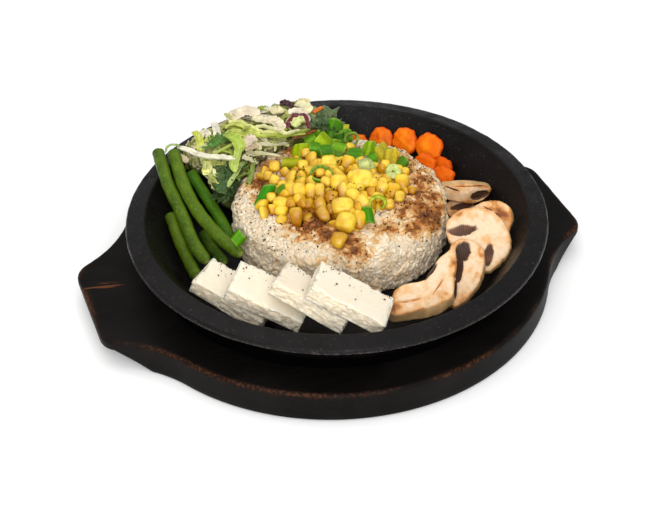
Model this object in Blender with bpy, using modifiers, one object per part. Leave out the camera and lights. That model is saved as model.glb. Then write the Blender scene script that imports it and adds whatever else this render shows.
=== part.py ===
"""Pepper rice with tofu, served in a cast iron pan on a wooden underliner board.

Units are metres and +Z is up. The origin is the centre of the board's underside.
+X runs along the board from handle to handle. The pan and all the food on it are
placed from the pan's own centre, the empty called dish_centre.
"""

import math

import bmesh
import bpy
from mathutils import Matrix, Vector, noise

COLLECTION_NAME = "tofu_pepper_rice"
TOUCH_GAP = 0.0003            # air left between two pieces that touch

# Board: a round body with a flat handle at each end, and a recess for the pan.
BOARD_RADIUS = 0.1372
BOARD_HALF_LENGTH = 0.158
BOARD_THICKNESS = 0.020
BOARD_EDGE_ROUND = 0.0026
HANDLE_CORNER = (0.1440, 0.0277)   # centre of the rounded corner
HANDLE_CORNER_RADIUS = 0.014
HANDLE_ROOT_FILLET = 0.080         # hollow curve that runs the handle into the round body
HANDLE_ROOT_ANGLE = 31             # where that curve meets the body, degrees from +X
HANDLE_TIP_THICKNESS = 0.0075
HANDLE_CUT_START = 0.1335     # distance from the centre where the underside starts to rise
RECESS_RADIUS = 0.1130
RECESS_DEPTH = 0.0070

# Pan: inner floor, sloping wall and a flat ring that slopes down to the lip.
PAN_CENTRE = (0.0027, -0.0010)
PAN_BOTTOM_Z = BOARD_THICKNESS - RECESS_DEPTH + TOUCH_GAP
FLOOR_Z = 0.0180
FLOOR_RADIUS = 0.0975
CREST_RADIUS = 0.1190
CREST_Z = 0.0500
RIM_RADIUS = 0.1300
RIM_Z = 0.0481
LIP_RADIUS = 0.1309
LIP_Z = 0.0453
WALL_THICKNESS = 0.0050
FLOOR_FILLET = 0.0100
PAN_STEPS = 60

# Rice: a scoop turned out of a round mould.
RICE_CENTRE = (0.0087, 0.0170)
RICE_RADIUS = 0.0675
RICE_HEIGHT = 0.0310
RICE_EDGE_ROUND = 0.0095
RICE_UNEVEN = 0.0013

# Sweetcorn: a low dome on the rice.
CORN_CENTRE = (0.0055, 0.0150)
CORN_RADIUS = 0.0450
CORN_HEIGHT = 0.0120
CORN_UNEVEN = 0.0022

# Salad: a heap that fills the space between the rice and the pan's wall.
SALAD_START = math.radians(68)
SALAD_FULL = math.radians(124)
SALAD_END = math.radians(131)
SALAD_OUTER = 0.1215
SALAD_TOP_Z = 0.0600

# Tofu slabs, shingled along the front left: centre of the top face, then yaw, pitch, roll.
TOFU_SIZE = (0.0480, 0.0255, 0.0100)
TOFU_EDGE_ROUND = 0.0009
TOFU_PLACES = (
    ((-0.0775, -0.0389, 0.0380), (-46.1, 20.2, -2.5)),
    ((-0.0619, -0.0571, 0.0456), (-34.5, 21.2, 6.3)),
    ((-0.0390, -0.0722, 0.0503), (-41.4, 22.1, -10.5)),
    ((-0.0220, -0.0869, 0.0553), (-33.7, 25.8, -0.1)),
)

# Green beans: points that each bean's middle line passes through, and its radius.
BEAN_ROUTES = (
    ((-0.0941, 0.0492, 0.0372), (-0.0944, 0.0340, 0.0320), (-0.0937, 0.0182, 0.0270),
     (-0.0930, -0.0030, 0.0252)),
    ((-0.0890, 0.0920, 0.0572), (-0.0905, 0.0750, 0.0558), (-0.0910, 0.0620, 0.0515),
     (-0.0885, 0.0415, 0.0410), (-0.0880, 0.0175, 0.0350), (-0.0850, -0.0010, 0.0325)),
    ((-0.0800, 0.0870, 0.0578), (-0.0815, 0.0700, 0.0550), (-0.0820, 0.0565, 0.0515),
     (-0.0785, 0.0395, 0.0420), (-0.0715, 0.0155, 0.0365), (-0.0640, -0.0045, 0.0350)),
    ((-0.0725, 0.0775, 0.0465), (-0.0675, 0.0620, 0.0370), (-0.0632, 0.0430, 0.0285),
     (-0.0620, 0.0265, 0.0238)),
    ((-0.0760, 0.0405, 0.0238), (-0.0752, 0.0250, 0.0230), (-0.0720, 0.0070, 0.0225)),
)
BEAN_RADII = (0.0040, 0.0042, 0.0043, 0.0040, 0.0037)

# Carrot rounds, crinkle cut.
CARROT_THICKNESS = 0.0055
CARROT_RIDGE = 0.00055
CARROT_RIDGE_PITCH = 0.0046
CARROT_PLACES = (
    # centre, radius, way the cut face looks (azimuth, elevation), ridge angle
    ((0.0487, 0.0888, 0.0311), 0.0066, (-120, 34), 10),
    ((0.0632, 0.0818, 0.0353), 0.0078, (-128, 34), 70),
    ((0.0761, 0.0719, 0.0370), 0.0082, (-137, 34), 30),
    ((0.0877, 0.0576, 0.0384), 0.0088, (-147, 34), 100),
    ((0.0782, 0.0455, 0.0314), 0.0090, (-147, 36), 0),
    ((0.0906, 0.0434, 0.0298), 0.0072, (-154, 34), 50),
    ((0.0850, 0.0290, 0.0320), 0.0082, (-158, 40), 20),
)

MUSHROOM_SLICES = (
    # middle of the cut face, way it looks (azimuth, elevation), thickness, how much further out
    # the far face reaches on the cap side, heading of the cap, outline of the cut face
    ((0.0900, 0.0012, 0.0372), (-106, 12), 0.0070, 0.0005, 90, (
     (-0.0152, 0.0051), (-0.0110, 0.0063), (-0.0014, 0.0064), (0.0084, 0.0051), (0.0142, 0.0037),
     (0.0162, 0.0008), (0.0137, -0.0033), (0.0085, -0.0065), (0.0020, -0.0068),
     (-0.0058, -0.0056), (-0.0123, -0.0042), (-0.0155, -0.0001))),
    ((0.0908, -0.0367, 0.0442), (-116, 52), 0.0055, 0.0015, 60, (
     (-0.0139, 0.0058), (-0.0084, 0.0090), (-0.0023, 0.0107), (0.0039, 0.0105), (0.0087, 0.0075),
     (0.0113, 0.0025), (0.0113, -0.0040), (0.0090, -0.0092), (0.0036, -0.0121),
     (-0.0039, -0.0105), (-0.0103, -0.0050), (-0.0143, 0.0006))),
    ((0.0737, -0.0502, 0.0421), (-122, 62), 0.0050, 0.0010, 20, (
     (-0.0204, 0.0092), (-0.0164, 0.0159), (-0.0101, 0.0198), (-0.0029, 0.0220), (0.0047, 0.0205),
     (0.0121, 0.0159), (0.0173, 0.0089), (0.0198, 0.0011), (0.0192, -0.0064), (0.0157, -0.0129),
     (0.0110, -0.0186), (0.0070, -0.0207), (0.0031, -0.0185), (-0.0003, -0.0163),
     (-0.0068, -0.0178), (-0.0122, -0.0144), (-0.0143, -0.0079), (-0.0176, -0.0022),
     (-0.0203, 0.0037))),
    ((0.0573, -0.0691, 0.0373), (-122, 68), 0.0050, 0.0012, 0, (
     (-0.0109, 0.0170), (-0.0064, 0.0201), (-0.0004, 0.0208), (0.0054, 0.0184), (0.0093, 0.0118),
     (0.0106, 0.0042), (0.0098, -0.0057), (0.0068, -0.0144), (0.0024, -0.0218),
     (-0.0024, -0.0262), (-0.0061, -0.0250), (-0.0071, -0.0183), (-0.0077, -0.0101),
     (-0.0101, -0.0013), (-0.0121, 0.0083))),
    ((0.0300, -0.0806, 0.0379), (-112, 67), 0.0070, 0.0040, -95, (
     (0.0124, 0.0286), (0.0147, 0.0238), (0.0151, 0.0170), (0.0132, 0.0095), (0.0136, 0.0028),
     (0.0117, -0.0046), (0.0070, -0.0079), (-0.0013, -0.0116), (-0.0102, -0.0147),
     (-0.0190, -0.0164), (-0.0236, -0.0154), (-0.0242, -0.0102), (-0.0231, -0.0055),
     (-0.0225, -0.0008), (-0.0189, 0.0025), (-0.0136, 0.0046), (-0.0082, 0.0053),
     (-0.0035, 0.0074), (-0.0004, 0.0135), (0.0051, 0.0217))),
    ((0.0854, 0.0011, 0.0269), (-104, 58), 0.0045, 0.0005, 90, (
     (-0.0080, 0.0042), (-0.0025, 0.0062), (0.0034, 0.0060), (0.0090, 0.0035), (0.0091, -0.0008),
     (0.0059, -0.0047), (-0.0008, -0.0062), (-0.0066, -0.0057), (-0.0092, -0.0006))),
)


def hex_to_linear(code):
    """Turn an sRGB hex code into the linear colour that a shader takes."""
    channels = [int(code[i:i + 2], 16) / 255 for i in (0, 2, 4)]
    linear = [c / 12.92 if c <= 0.04045 else ((c + 0.055) / 1.055) ** 2.4 for c in channels]
    return (*linear, 1.0)


def make_material(name, code, roughness, metallic=0.0):
    material = bpy.data.materials.new(name)
    material.use_nodes = True
    shader = material.node_tree.nodes["Principled BSDF"]
    shader.inputs["Base Color"].default_value = hex_to_linear(code)
    shader.inputs["Roughness"].default_value = roughness
    shader.inputs["Metallic"].default_value = metallic
    return material


def clear_scene():
    for thing in list(bpy.data.objects):
        bpy.data.objects.remove(thing)


def make_collection(name):
    collection = bpy.data.collections.new(name)
    bpy.context.scene.collection.children.link(collection)
    return collection


def add_object(name, data, material, collection, parent=None):
    thing = bpy.data.objects.new(name, data)
    if material is not None:
        data.materials.append(material)
    collection.objects.link(thing)
    thing.parent = parent
    return thing


def mesh_from(name, points, faces):
    mesh = bpy.data.meshes.new(name)
    mesh.from_pydata(points, [], faces)
    mesh.update()
    return mesh


def loft(name, rings):
    """A closed solid through rings of equal point counts, each ring a closed outline."""
    count = len(rings[0])
    points = [tuple(p) for ring in rings for p in ring]
    faces = []
    for i in range(len(rings) - 1):
        for j in range(count):
            k = (j + 1) % count
            faces.append((i * count + j, i * count + k, (i + 1) * count + k, (i + 1) * count + j))
    last = (len(rings) - 1) * count
    faces.append(tuple(reversed(range(count))))
    faces.append(tuple(range(last, last + count)))
    mesh = mesh_from(name, points, faces)
    shell = bmesh.new()
    shell.from_mesh(mesh)
    bmesh.ops.triangulate(shell, faces=[f for f in shell.faces if len(f.verts) > 4])
    bmesh.ops.recalc_face_normals(shell, faces=shell.faces)
    shell.to_mesh(mesh)
    shell.free()
    return mesh


def arc(centre, radius, start, end, steps):
    """Points along an arc; angles in degrees, both ends included."""
    turns = [math.radians(start + (end - start) * i / steps) for i in range(steps + 1)]
    return [(centre[0] + radius * math.cos(a), centre[1] + radius * math.sin(a)) for a in turns]


def uneven(x, y, z, size, seed=0.0):
    """Smooth noise from -1 to 1 whose bumps are about size across."""
    return noise.noise(Vector((x / size + seed, y / size - seed, z / size + 2 * seed)))


# ---------------------------------------------------------------- board

def board_outline():
    """Quarter outline, mirrored twice: rounded corner, hollow root curve, body circle."""
    reach = BOARD_RADIUS + HANDLE_ROOT_FILLET
    heading = math.radians(HANDLE_ROOT_ANGLE)
    root = (reach * math.cos(heading), reach * math.sin(heading))
    quarter = [(BOARD_HALF_LENGTH, 0.0)]
    quarter += arc(HANDLE_CORNER, HANDLE_CORNER_RADIUS, 0, 60, 5)
    quarter += arc(root, HANDLE_ROOT_FILLET, 240, 180 + HANDLE_ROOT_ANGLE, 5)
    quarter += arc((0, 0), BOARD_RADIUS, HANDLE_ROOT_ANGLE, 90, 10)[1:]
    left = [(-x, y) for x, y in reversed(quarter)][1:]
    upper = quarter + left
    lower = [(x, -y) for x, y in reversed(upper)][1:-1]
    return upper + lower


def make_board(material, collection, cutters):
    points = board_outline()
    shell = bmesh.new()
    base = [shell.verts.new((x, y, 0)) for x, y in points]
    shell.faces.new(base)
    lifted = bmesh.ops.extrude_face_region(shell, geom=list(shell.faces))
    top = [v for v in lifted["geom"] if isinstance(v, bmesh.types.BMVert)]
    bmesh.ops.translate(shell, verts=top, vec=(0, 0, BOARD_THICKNESS))
    bmesh.ops.recalc_face_normals(shell, faces=shell.faces)
    mesh = bpy.data.meshes.new("board")
    shell.to_mesh(mesh)
    shell.free()
    board = add_object("board", mesh, material, collection)
    rounding = board.modifiers.new("worn_edges", "BEVEL")
    rounding.width = BOARD_EDGE_ROUND
    rounding.segments = 2
    rounding.limit_method = "ANGLE"
    rounding.angle_limit = math.radians(60)
    cut_recess(board, cutters)
    for side in (-1, 1):
        cut_handle_underside(board, side, cutters)
    return board


def add_cutter(name, mesh, cutters):
    cutter = add_object(name, mesh, None, cutters)
    cutter.hide_render = True
    cutter.display_type = "WIRE"
    return cutter


def cut(target, cutter):
    modifier = target.modifiers.new(cutter.name, "BOOLEAN")
    modifier.operation = "DIFFERENCE"
    modifier.solver = "EXACT"
    modifier.object = cutter


def cut_recess(board, cutters):
    shell = bmesh.new()
    bmesh.ops.create_cone(shell, cap_ends=True, segments=48, radius1=RECESS_RADIUS,
                          radius2=RECESS_RADIUS, depth=2 * RECESS_DEPTH)
    bmesh.ops.translate(shell, verts=shell.verts, vec=(0, 0, BOARD_THICKNESS))
    mesh = bpy.data.meshes.new("recess_cutter")
    shell.to_mesh(mesh)
    shell.free()
    cut(board, add_cutter("recess_cutter", mesh, cutters))


def cut_handle_underside(board, side, cutters):
    """The handle thins towards its end, so fingers fit under it."""
    reach = BOARD_HALF_LENGTH + 0.02
    rise = BOARD_THICKNESS - HANDLE_TIP_THICKNESS
    slope_end = BOARD_HALF_LENGTH - 0.006
    low = -0.01
    profile = [(HANDLE_CUT_START, low), (HANDLE_CUT_START, 0.0), (slope_end, rise),
               (reach, rise), (reach, low)]
    wide = BOARD_RADIUS + 0.02
    rings = [[(side * x, y, z) for x, z in profile] for y in (-wide, wide)]
    name = "underside_cutter_" + ("left" if side < 0 else "right")
    cut(board, add_cutter(name, loft(name, rings), cutters))


# ---------------------------------------------------------------- pan

def pan_profile():
    """(radius, height) from the middle of the floor, over the rim, to the middle of the base."""
    slope = math.degrees(math.atan2(CREST_Z - FLOOR_Z, CREST_RADIUS - FLOOR_RADIUS))
    tangent = FLOOR_FILLET * math.tan(math.radians(slope / 2))
    inner = arc((FLOOR_RADIUS - tangent, FLOOR_Z + FLOOR_FILLET), FLOOR_FILLET,
                -90, -90 + slope, 4)
    ring = [(CREST_RADIUS - 0.0006, CREST_Z - 0.0010), (CREST_RADIUS + 0.0004, CREST_Z),
            (RIM_RADIUS - 0.0010, RIM_Z + 0.0001), (RIM_RADIUS, RIM_Z - 0.0004),
            (LIP_RADIUS, LIP_Z), (LIP_RADIUS - 0.0008, LIP_Z - 0.0008)]
    under = (LIP_RADIUS - 0.0030, LIP_Z - 0.0012)
    shift = WALL_THICKNESS / math.sin(math.radians(slope))
    outer_radius = FLOOR_RADIUS + shift
    fall = (CREST_RADIUS - FLOOR_RADIUS) / (CREST_Z - FLOOR_Z)
    wall_top_z = LIP_Z - 0.0030
    wall_top = (outer_radius + (wall_top_z - FLOOR_Z) * fall, wall_top_z)
    base_radius = outer_radius + (PAN_BOTTOM_Z - FLOOR_Z) * fall
    wall_foot = (base_radius + 0.0022 * fall, PAN_BOTTOM_Z + 0.0022)
    return [(0.0, FLOOR_Z), *inner, *ring, under, wall_top, wall_foot,
            (base_radius - 0.0028, PAN_BOTTOM_Z), (0.0, PAN_BOTTOM_Z)]


def make_pan(material, collection, dish):
    profile = [(r, 0.0, z) for r, z in pan_profile()]
    edges = [(i, i + 1) for i in range(len(profile) - 1)]
    mesh = bpy.data.meshes.new("pan")
    mesh.from_pydata(profile, edges, [])
    pan = add_object("pan", mesh, material, collection, dish)
    turn = pan.modifiers.new("turned", "SCREW")
    turn.steps = turn.render_steps = PAN_STEPS
    turn.use_merge_vertices = True
    turn.merge_threshold = 0.00001
    turn.use_smooth_shade = True
    return pan


# ---------------------------------------------------------------- heaps

def rice_profile():
    """(share of radius, height) up the side of the mound, over its rounded edge, to near the top."""
    round_edge = arc((RICE_RADIUS - RICE_EDGE_ROUND, RICE_HEIGHT - RICE_EDGE_ROUND),
                     RICE_EDGE_ROUND, 0, 90, 4)
    side = [(RICE_RADIUS - 0.0010, 0.0), (RICE_RADIUS, 0.0060), (RICE_RADIUS, 0.0140)]
    return side + round_edge + [(RICE_RADIUS * 0.45, RICE_HEIGHT)]


def make_rice(material, collection, dish):
    base_z = FLOOR_Z + TOUCH_GAP
    rings = []
    for radius, height in rice_profile():
        ring = []
        for i in range(40):
            turn = math.tau * i / 40
            x, y = math.cos(turn), math.sin(turn)
            bump = RICE_UNEVEN * uneven(x * RICE_RADIUS, y * RICE_RADIUS, height, 0.012)
            share = min(1.0, height / 0.004)
            r = radius + bump * share
            ring.append((RICE_CENTRE[0] + r * x, RICE_CENTRE[1] + r * y, base_z + height))
        rings.append(ring)
    return add_object("rice", loft("rice", rings), material, collection, dish)


def corn_radius(turn):
    """The corn's edge wanders, reaches out to the left, and leaves a bay at the front left."""
    def near(heading, width):
        away = (math.degrees(turn) - heading + 180) % 360 - 180
        return math.exp(-(away / width) ** 2)

    reach = CORN_RADIUS + 0.0012 * math.sin(5 * turn + 0.6)
    reach += 0.0050 * near(188, 20) - 0.0050 * near(90, 45)
    return reach - 0.0240 * near(230, 17) - 0.0130 * near(298, 20)


def make_corn(material, collection, dish):
    base_z = FLOOR_Z + RICE_HEIGHT + 2 * TOUCH_GAP
    shares = (1.0, 1.03, 0.97, 0.86, 0.68, 0.46, 0.22)
    heights = (0.0, 0.26, 0.56, 0.76, 0.90, 0.97, 1.0)
    rings = []
    for share, level in zip(shares, heights):
        ring = []
        for i in range(44):
            turn = math.tau * i / 44
            r = corn_radius(turn) * share
            x = CORN_CENTRE[0] + r * math.cos(turn)
            y = CORN_CENTRE[1] + r * math.sin(turn)
            z = CORN_HEIGHT * level
            if level > 0:
                z += CORN_UNEVEN * level * uneven(x, y, 0.0, 0.011, 3.0)
            ring.append((x, y, base_z + z))
        rings.append(ring)
    return add_object("corn", loft("corn", rings), material, collection, dish)


def rice_edge(turn, clearance):
    """Distance from the pan's centre to the mound's side, along a heading."""
    along = RICE_CENTRE[0] * math.cos(turn) + RICE_CENTRE[1] * math.sin(turn)
    across = RICE_CENTRE[1] * math.cos(turn) - RICE_CENTRE[0] * math.sin(turn)
    reach = RICE_RADIUS + RICE_UNEVEN + clearance
    return along + math.sqrt(reach * reach - across * across)


def smooth_step(value, low, high):
    share = min(1.0, max(0.0, (value - low) / (high - low)))
    return share * share * (3 - 2 * share)


def wall_inside(z, clearance):
    """Radius of the pan's inner wall at a height, less a clearance."""
    climb = (z - FLOOR_Z) / (CREST_Z - FLOOR_Z)
    return FLOOR_RADIUS + climb * (CREST_RADIUS - FLOOR_RADIUS) - clearance


def salad_section(turn):
    """Outline of the heap in the plane of one heading: floor, wall, rim, crown, rice side."""
    past = smooth_step(turn, SALAD_FULL, SALAD_END)
    before = 1 - smooth_step(turn, SALAD_START, SALAD_START + math.radians(16))
    inner = rice_edge(turn, TOUCH_GAP)
    outer = SALAD_OUTER - 0.013 * max(past, before)
    top = SALAD_TOP_Z - 0.009 * past - 0.013 * before
    floor_z = FLOOR_Z + TOUCH_GAP
    shoulder_z = min(CREST_Z - 0.0030, top - 0.008)
    middle_z = 0.5 * (floor_z + shoulder_z)
    rim_z = min(CREST_Z + 0.0010, top - 0.004)
    bump = 0.0022 * uneven(math.cos(turn), math.sin(turn), 0.3, 0.16, 1.0)
    wide = outer - inner
    outline = [
        (inner, floor_z),
        (FLOOR_RADIUS - 0.0080, floor_z),
        (wall_inside(middle_z, 0.0024), middle_z),
        (min(wall_inside(shoulder_z, 0.0012), outer), shoulder_z),
        (min(CREST_RADIUS - 0.0006, outer - 0.0008), rim_z),
        (outer, rim_z + 0.0002),
        (outer - 0.0020, max(rim_z + 0.002, top - 0.0045)),
        (outer - 0.25 * wide, top + bump),
        (outer - 0.50 * wide, top + 0.001 - bump),
        (outer - 0.75 * wide, top - 0.0020 + bump),
        (inner + 0.0012, top - 0.0080),
    ]
    return [(r * math.cos(turn), r * math.sin(turn), z) for r, z in outline]


def make_salad(material, collection, dish):
    count = 16
    step = (SALAD_END - SALAD_START) / (count - 1)
    rings = [salad_section(SALAD_START + i * step) for i in range(count)]
    return add_object("salad", loft("salad", rings), material, collection, dish)


# ---------------------------------------------------------------- tofu

def make_tofu(material, collection, dish):
    length, width, thickness = TOFU_SIZE
    for number, (centre, (yaw, pitch, roll)) in enumerate(TOFU_PLACES, start=1):
        shell = bmesh.new()
        bmesh.ops.create_cube(shell, size=1.0)
        bmesh.ops.scale(shell, vec=TOFU_SIZE, verts=shell.verts)
        bmesh.ops.translate(shell, verts=shell.verts, vec=(0, 0, -thickness / 2))
        mesh = bpy.data.meshes.new(f"tofu_{number}")
        shell.to_mesh(mesh)
        shell.free()
        slab = add_object(f"tofu_{number}", mesh, material, collection, dish)
        slab.location = centre
        slab.rotation_euler = [math.radians(a) for a in (roll, pitch, yaw)]
        rounding = slab.modifiers.new("soft_edges", "BEVEL")
        rounding.width = TOFU_EDGE_ROUND
        rounding.segments = 2


# ---------------------------------------------------------------- beans

def smooth_route(points, per_span):
    """Points of a Catmull-Rom curve through the given ones."""
    knots = [Vector(p) for p in points]
    knots = [2 * knots[0] - knots[1]] + knots + [2 * knots[-1] - knots[-2]]
    route = []
    for a, b, c, d in zip(knots, knots[1:], knots[2:], knots[3:]):
        for i in range(per_span):
            t = i / per_span
            route.append(0.5 * (2 * b + (c - a) * t + (2 * a - 5 * b + 4 * c - d) * t * t
                                + (3 * b - a - 3 * c + d) * t ** 3))
    route.append(knots[-2])
    return route


def make_beans(material, collection, dish):
    for number, (points, radius) in enumerate(zip(BEAN_ROUTES, BEAN_RADII), start=1):
        route = smooth_route(points, 3)
        curve = bpy.data.curves.new(f"bean_{number}", "CURVE")
        curve.dimensions = "3D"
        curve.bevel_depth = radius
        curve.bevel_resolution = 2
        curve.use_fill_caps = True
        spline = curve.splines.new("POLY")
        spline.points.add(len(route) - 1)
        for i, point in enumerate(route):
            ends = min(i, len(route) - 1 - i)
            spline.points[i].co = (*point, 1.0)
            spline.points[i].radius = 0.86 if ends == 0 else 1.0
        add_object(f"bean_{number}", curve, material, collection, dish)


# ---------------------------------------------------------------- carrots

def carrot_mesh(name, radius):
    """A round cut across ridges: the chord's width follows the circle, and the section waves."""
    half = CARROT_THICKNESS / 2
    stations = 12
    rings = []
    for i in range(stations + 1):
        along = -radius * math.cos(math.pi * i / stations)
        chord = max(0.24 * radius, math.sqrt(max(0.0, radius ** 2 - along ** 2)))
        wave = CARROT_RIDGE * math.sin(math.tau * along / CARROT_RIDGE_PITCH)
        soft = 0.0009
        outline = [(-chord, -half + soft), (-chord + soft, -half), (chord - soft, -half),
                   (chord, -half + soft), (chord, half - soft), (chord - soft, half),
                   (-chord + soft, half), (-chord, half - soft)]
        rings.append([(along, y, z + wave) for y, z in outline])
    return loft(name, rings)


def facing(centre, azimuth, elevation, clock):
    """Matrix for a slice: +Z looks along a heading, +Y points clock degrees clockwise from up."""
    azimuth, elevation, clock = (math.radians(a) for a in (azimuth, elevation, clock))
    face = Vector((math.cos(azimuth) * math.cos(elevation),
                   math.sin(azimuth) * math.cos(elevation), math.sin(elevation)))
    up = (Vector((0, 0, 1)) - face * face.z).normalized()
    right = up.cross(face)
    head = up * math.cos(clock) + right * math.sin(clock)
    side = head.cross(face)
    turn = Matrix((side, head, face)).transposed().to_4x4()
    return Matrix.Translation(centre) @ turn


def make_carrots(material, collection, dish):
    for number, (centre, radius, (azimuth, elevation), clock) in enumerate(CARROT_PLACES, start=1):
        mesh = carrot_mesh(f"carrot_{number}", radius)
        disc = add_object(f"carrot_{number}", mesh, material, collection, dish)
        disc.matrix_local = facing(centre, azimuth, elevation, clock)


# ---------------------------------------------------------------- mushrooms

def make_mushrooms(material, collection, dish):
    """Slices with their own outlines; the far face reaches further out on the cap side."""
    soft = 0.0010
    for number, (centre, (azimuth, elevation), thickness, flare, cap, outline) in enumerate(
            MUSHROOM_SLICES, start=1):
        rings = []
        for depth, inset in ((thickness, 0.94), (thickness - soft, 1.0), (soft, 1.0), (0.0, 0.95)):
            ring = []
            for x, y in outline:
                reach = math.hypot(x, y)
                away = math.atan2(y, x) - math.radians(cap)
                out = flare * max(0.0, math.cos(away)) ** 0.7 * min(1.0, depth / thickness)
                scale = inset * (1 + out / reach)
                ring.append((x * scale, y * scale, -depth))
            rings.append(ring)
        mesh = loft(f"mushroom_{number}", rings)
        slice_ = add_object(f"mushroom_{number}", mesh, material, collection, dish)
        slice_.matrix_local = facing(centre, azimuth, elevation, 0)


def main():
    clear_scene()
    collection = make_collection(COLLECTION_NAME)
    cutters = make_collection("cutters")
    dish = bpy.data.objects.new("dish_centre", None)
    dish.location = (*PAN_CENTRE, 0.0)
    collection.objects.link(dish)
    make_board(make_material("stained_wood", "1e1713", 0.45), collection, cutters)
    make_pan(make_material("seasoned_iron", "2b2a2c", 0.5, 0.6), collection, dish)
    make_rice(make_material("cooked_rice", "e9e2d2", 0.5), collection, dish)
    make_corn(make_material("sweetcorn", "f6c62a", 0.4), collection, dish)
    make_salad(make_material("cabbage", "c9d07a", 0.5), collection, dish)
    make_tofu(make_material("firm_tofu", "fbf4e6", 0.55), collection, dish)
    make_beans(make_material("green_bean", "5f8f2a", 0.4), collection, dish)
    make_carrots(make_material("carrot", "f98412", 0.4), collection, dish)
    make_mushrooms(make_material("mushroom", "ecd6b0", 0.55), collection, dish)


main()
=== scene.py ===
"""Pepper rice with tofu in an iron pan on a wooden board, built on the CAD frame.

Places on the dish are written in millimetres from the pan's centre, heights from the table.
on_dish() turns them into the frame's metres.
"""

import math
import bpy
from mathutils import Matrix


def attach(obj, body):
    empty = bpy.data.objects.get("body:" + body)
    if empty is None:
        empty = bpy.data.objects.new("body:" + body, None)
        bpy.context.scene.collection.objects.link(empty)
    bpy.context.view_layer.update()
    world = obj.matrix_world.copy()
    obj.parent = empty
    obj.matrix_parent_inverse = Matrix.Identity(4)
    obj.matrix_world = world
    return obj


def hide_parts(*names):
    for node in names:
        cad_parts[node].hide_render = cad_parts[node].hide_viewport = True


bl_info = {
    "name": "Tofu Pepper Rice",
    "version": (1, 0, 0),
    "blender": (4, 5, 0),
    "location": "View3D > Sidebar > Pepper Rice",
    "description": "Builds an iron pan of pepper rice, tofu and vegetables on its wooden board",
    "category": "Object",
}

import bpy
import numpy as np
from bpy.props import FloatProperty, FloatVectorProperty, IntProperty, PointerProperty
from bpy.types import Operator, Panel, PropertyGroup
from mathutils import Matrix

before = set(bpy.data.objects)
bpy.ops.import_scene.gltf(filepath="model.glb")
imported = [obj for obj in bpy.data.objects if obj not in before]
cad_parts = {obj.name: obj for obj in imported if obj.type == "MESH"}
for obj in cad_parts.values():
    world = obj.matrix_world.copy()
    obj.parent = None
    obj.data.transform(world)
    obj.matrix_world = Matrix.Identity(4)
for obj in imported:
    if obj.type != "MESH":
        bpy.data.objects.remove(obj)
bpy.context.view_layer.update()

MM = 0.001
PAN_CENTRE = np.array((0.0027, -0.0010, 0.0))
GOLDEN_ANGLE = math.pi * (3 - math.sqrt(5))
UP = np.array((0, 0, 1.0))
FRONT = -109.5                              # heading in degrees that faces the camera
COLOURS = {"out": 2, "data_type": "RGBA"}   # how a Mix node is set to mix colours

# Board
BOARD_RADIUS = 0.1372
BOARD_HALF_LENGTH = 0.158
BOARD_THICKNESS = 0.020
HANDLE_CORNER = (0.1440, 0.0277)
HANDLE_CORNER_RADIUS = 0.014
HANDLE_ROOT_FILLET = 0.080
HANDLE_ROOT_ANGLE = 31
HANDLE_TIP_THICKNESS = 0.0075
HANDLE_CUT_START = 0.1335
RECESS_RADIUS = 0.1130
RECESS_DEPTH = 0.0070

# Pan
FLOOR_Z = 0.0180
FLOOR_RADIUS = 0.0975
CREST_RADIUS = 0.1190
CREST_Z = 0.0500

# Heaps, in mm on the dish
RICE_CENTRE = np.array((8.7, 17.0))
RICE_RADIUS = 67.5
RICE_BASE = 18.3
RICE_TOP = 49.3
RICE_EDGE = 12.5
CORN_CENTRE = np.array((5.5, 15.0))
CORN_RADIUS = 45.0
CORN_BASE = 49.5
CORN_TOP = 61.5

TOFU_SIZE = (48.0, 25.5, 10.0)
TOFU_PLACES = (
    ((-77.5, -38.9, 38), (-46.1, 20.2, -2.5)), ((-61.9, -57.1, 45.6), (-34.5, 21.2, 6.3)),
    ((-39, -72.2, 50.3), (-41.4, 22.1, -10.5)), ((-22, -86.9, 55.3), (-33.7, 25.8, -0.1)),
)

BEAN_ROUTES = (
    ((-94.1, 49.2, 37.2), (-94.4, 34, 32), (-93.7, 18.2, 27), (-93, -3, 25.2)),
    ((-89, 92, 57.2), (-90.5, 75, 55.8), (-91, 62, 51.5), (-88.5, 41.5, 41), (-88, 17.5, 35),
     (-85, -1, 32.5)),
    ((-80, 87, 57.8), (-81.5, 70, 55), (-82, 56.5, 51.5), (-78.5, 39.5, 42), (-71.5, 15.5, 36.5),
     (-64, -4.5, 35)),
    ((-72.5, 77.5, 46.5), (-67.5, 62, 37), (-63.2, 43, 28.5), (-62, 26.5, 23.8)),
    ((-76, 40.5, 23.8), (-75.2, 25, 23), (-72, 7, 22.5)),
)
BEAN_RADII = (4.0, 4.2, 4.3, 4.0, 3.7)

CARROT_THICKNESS = 5.5
CARROT_PLACES = (
    # centre, radius, way the cut face looks (azimuth, elevation), ridge angle
    ((48.7, 88.8, 31.1), 6.6, (-120, 34), 10), ((63.2, 81.8, 35.3), 7.8, (-128, 34), 70),
    ((76.1, 71.9, 37), 8.2, (-137, 34), 30), ((87.7, 57.6, 38.4), 8.8, (-147, 34), 100),
    ((78.2, 45.5, 31.4), 9, (-147, 36), 0), ((90.6, 43.4, 29.8), 7.2, (-154, 34), 50),
    ((85, 29, 32), 8.2, (-158, 40), 20),
)

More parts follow.
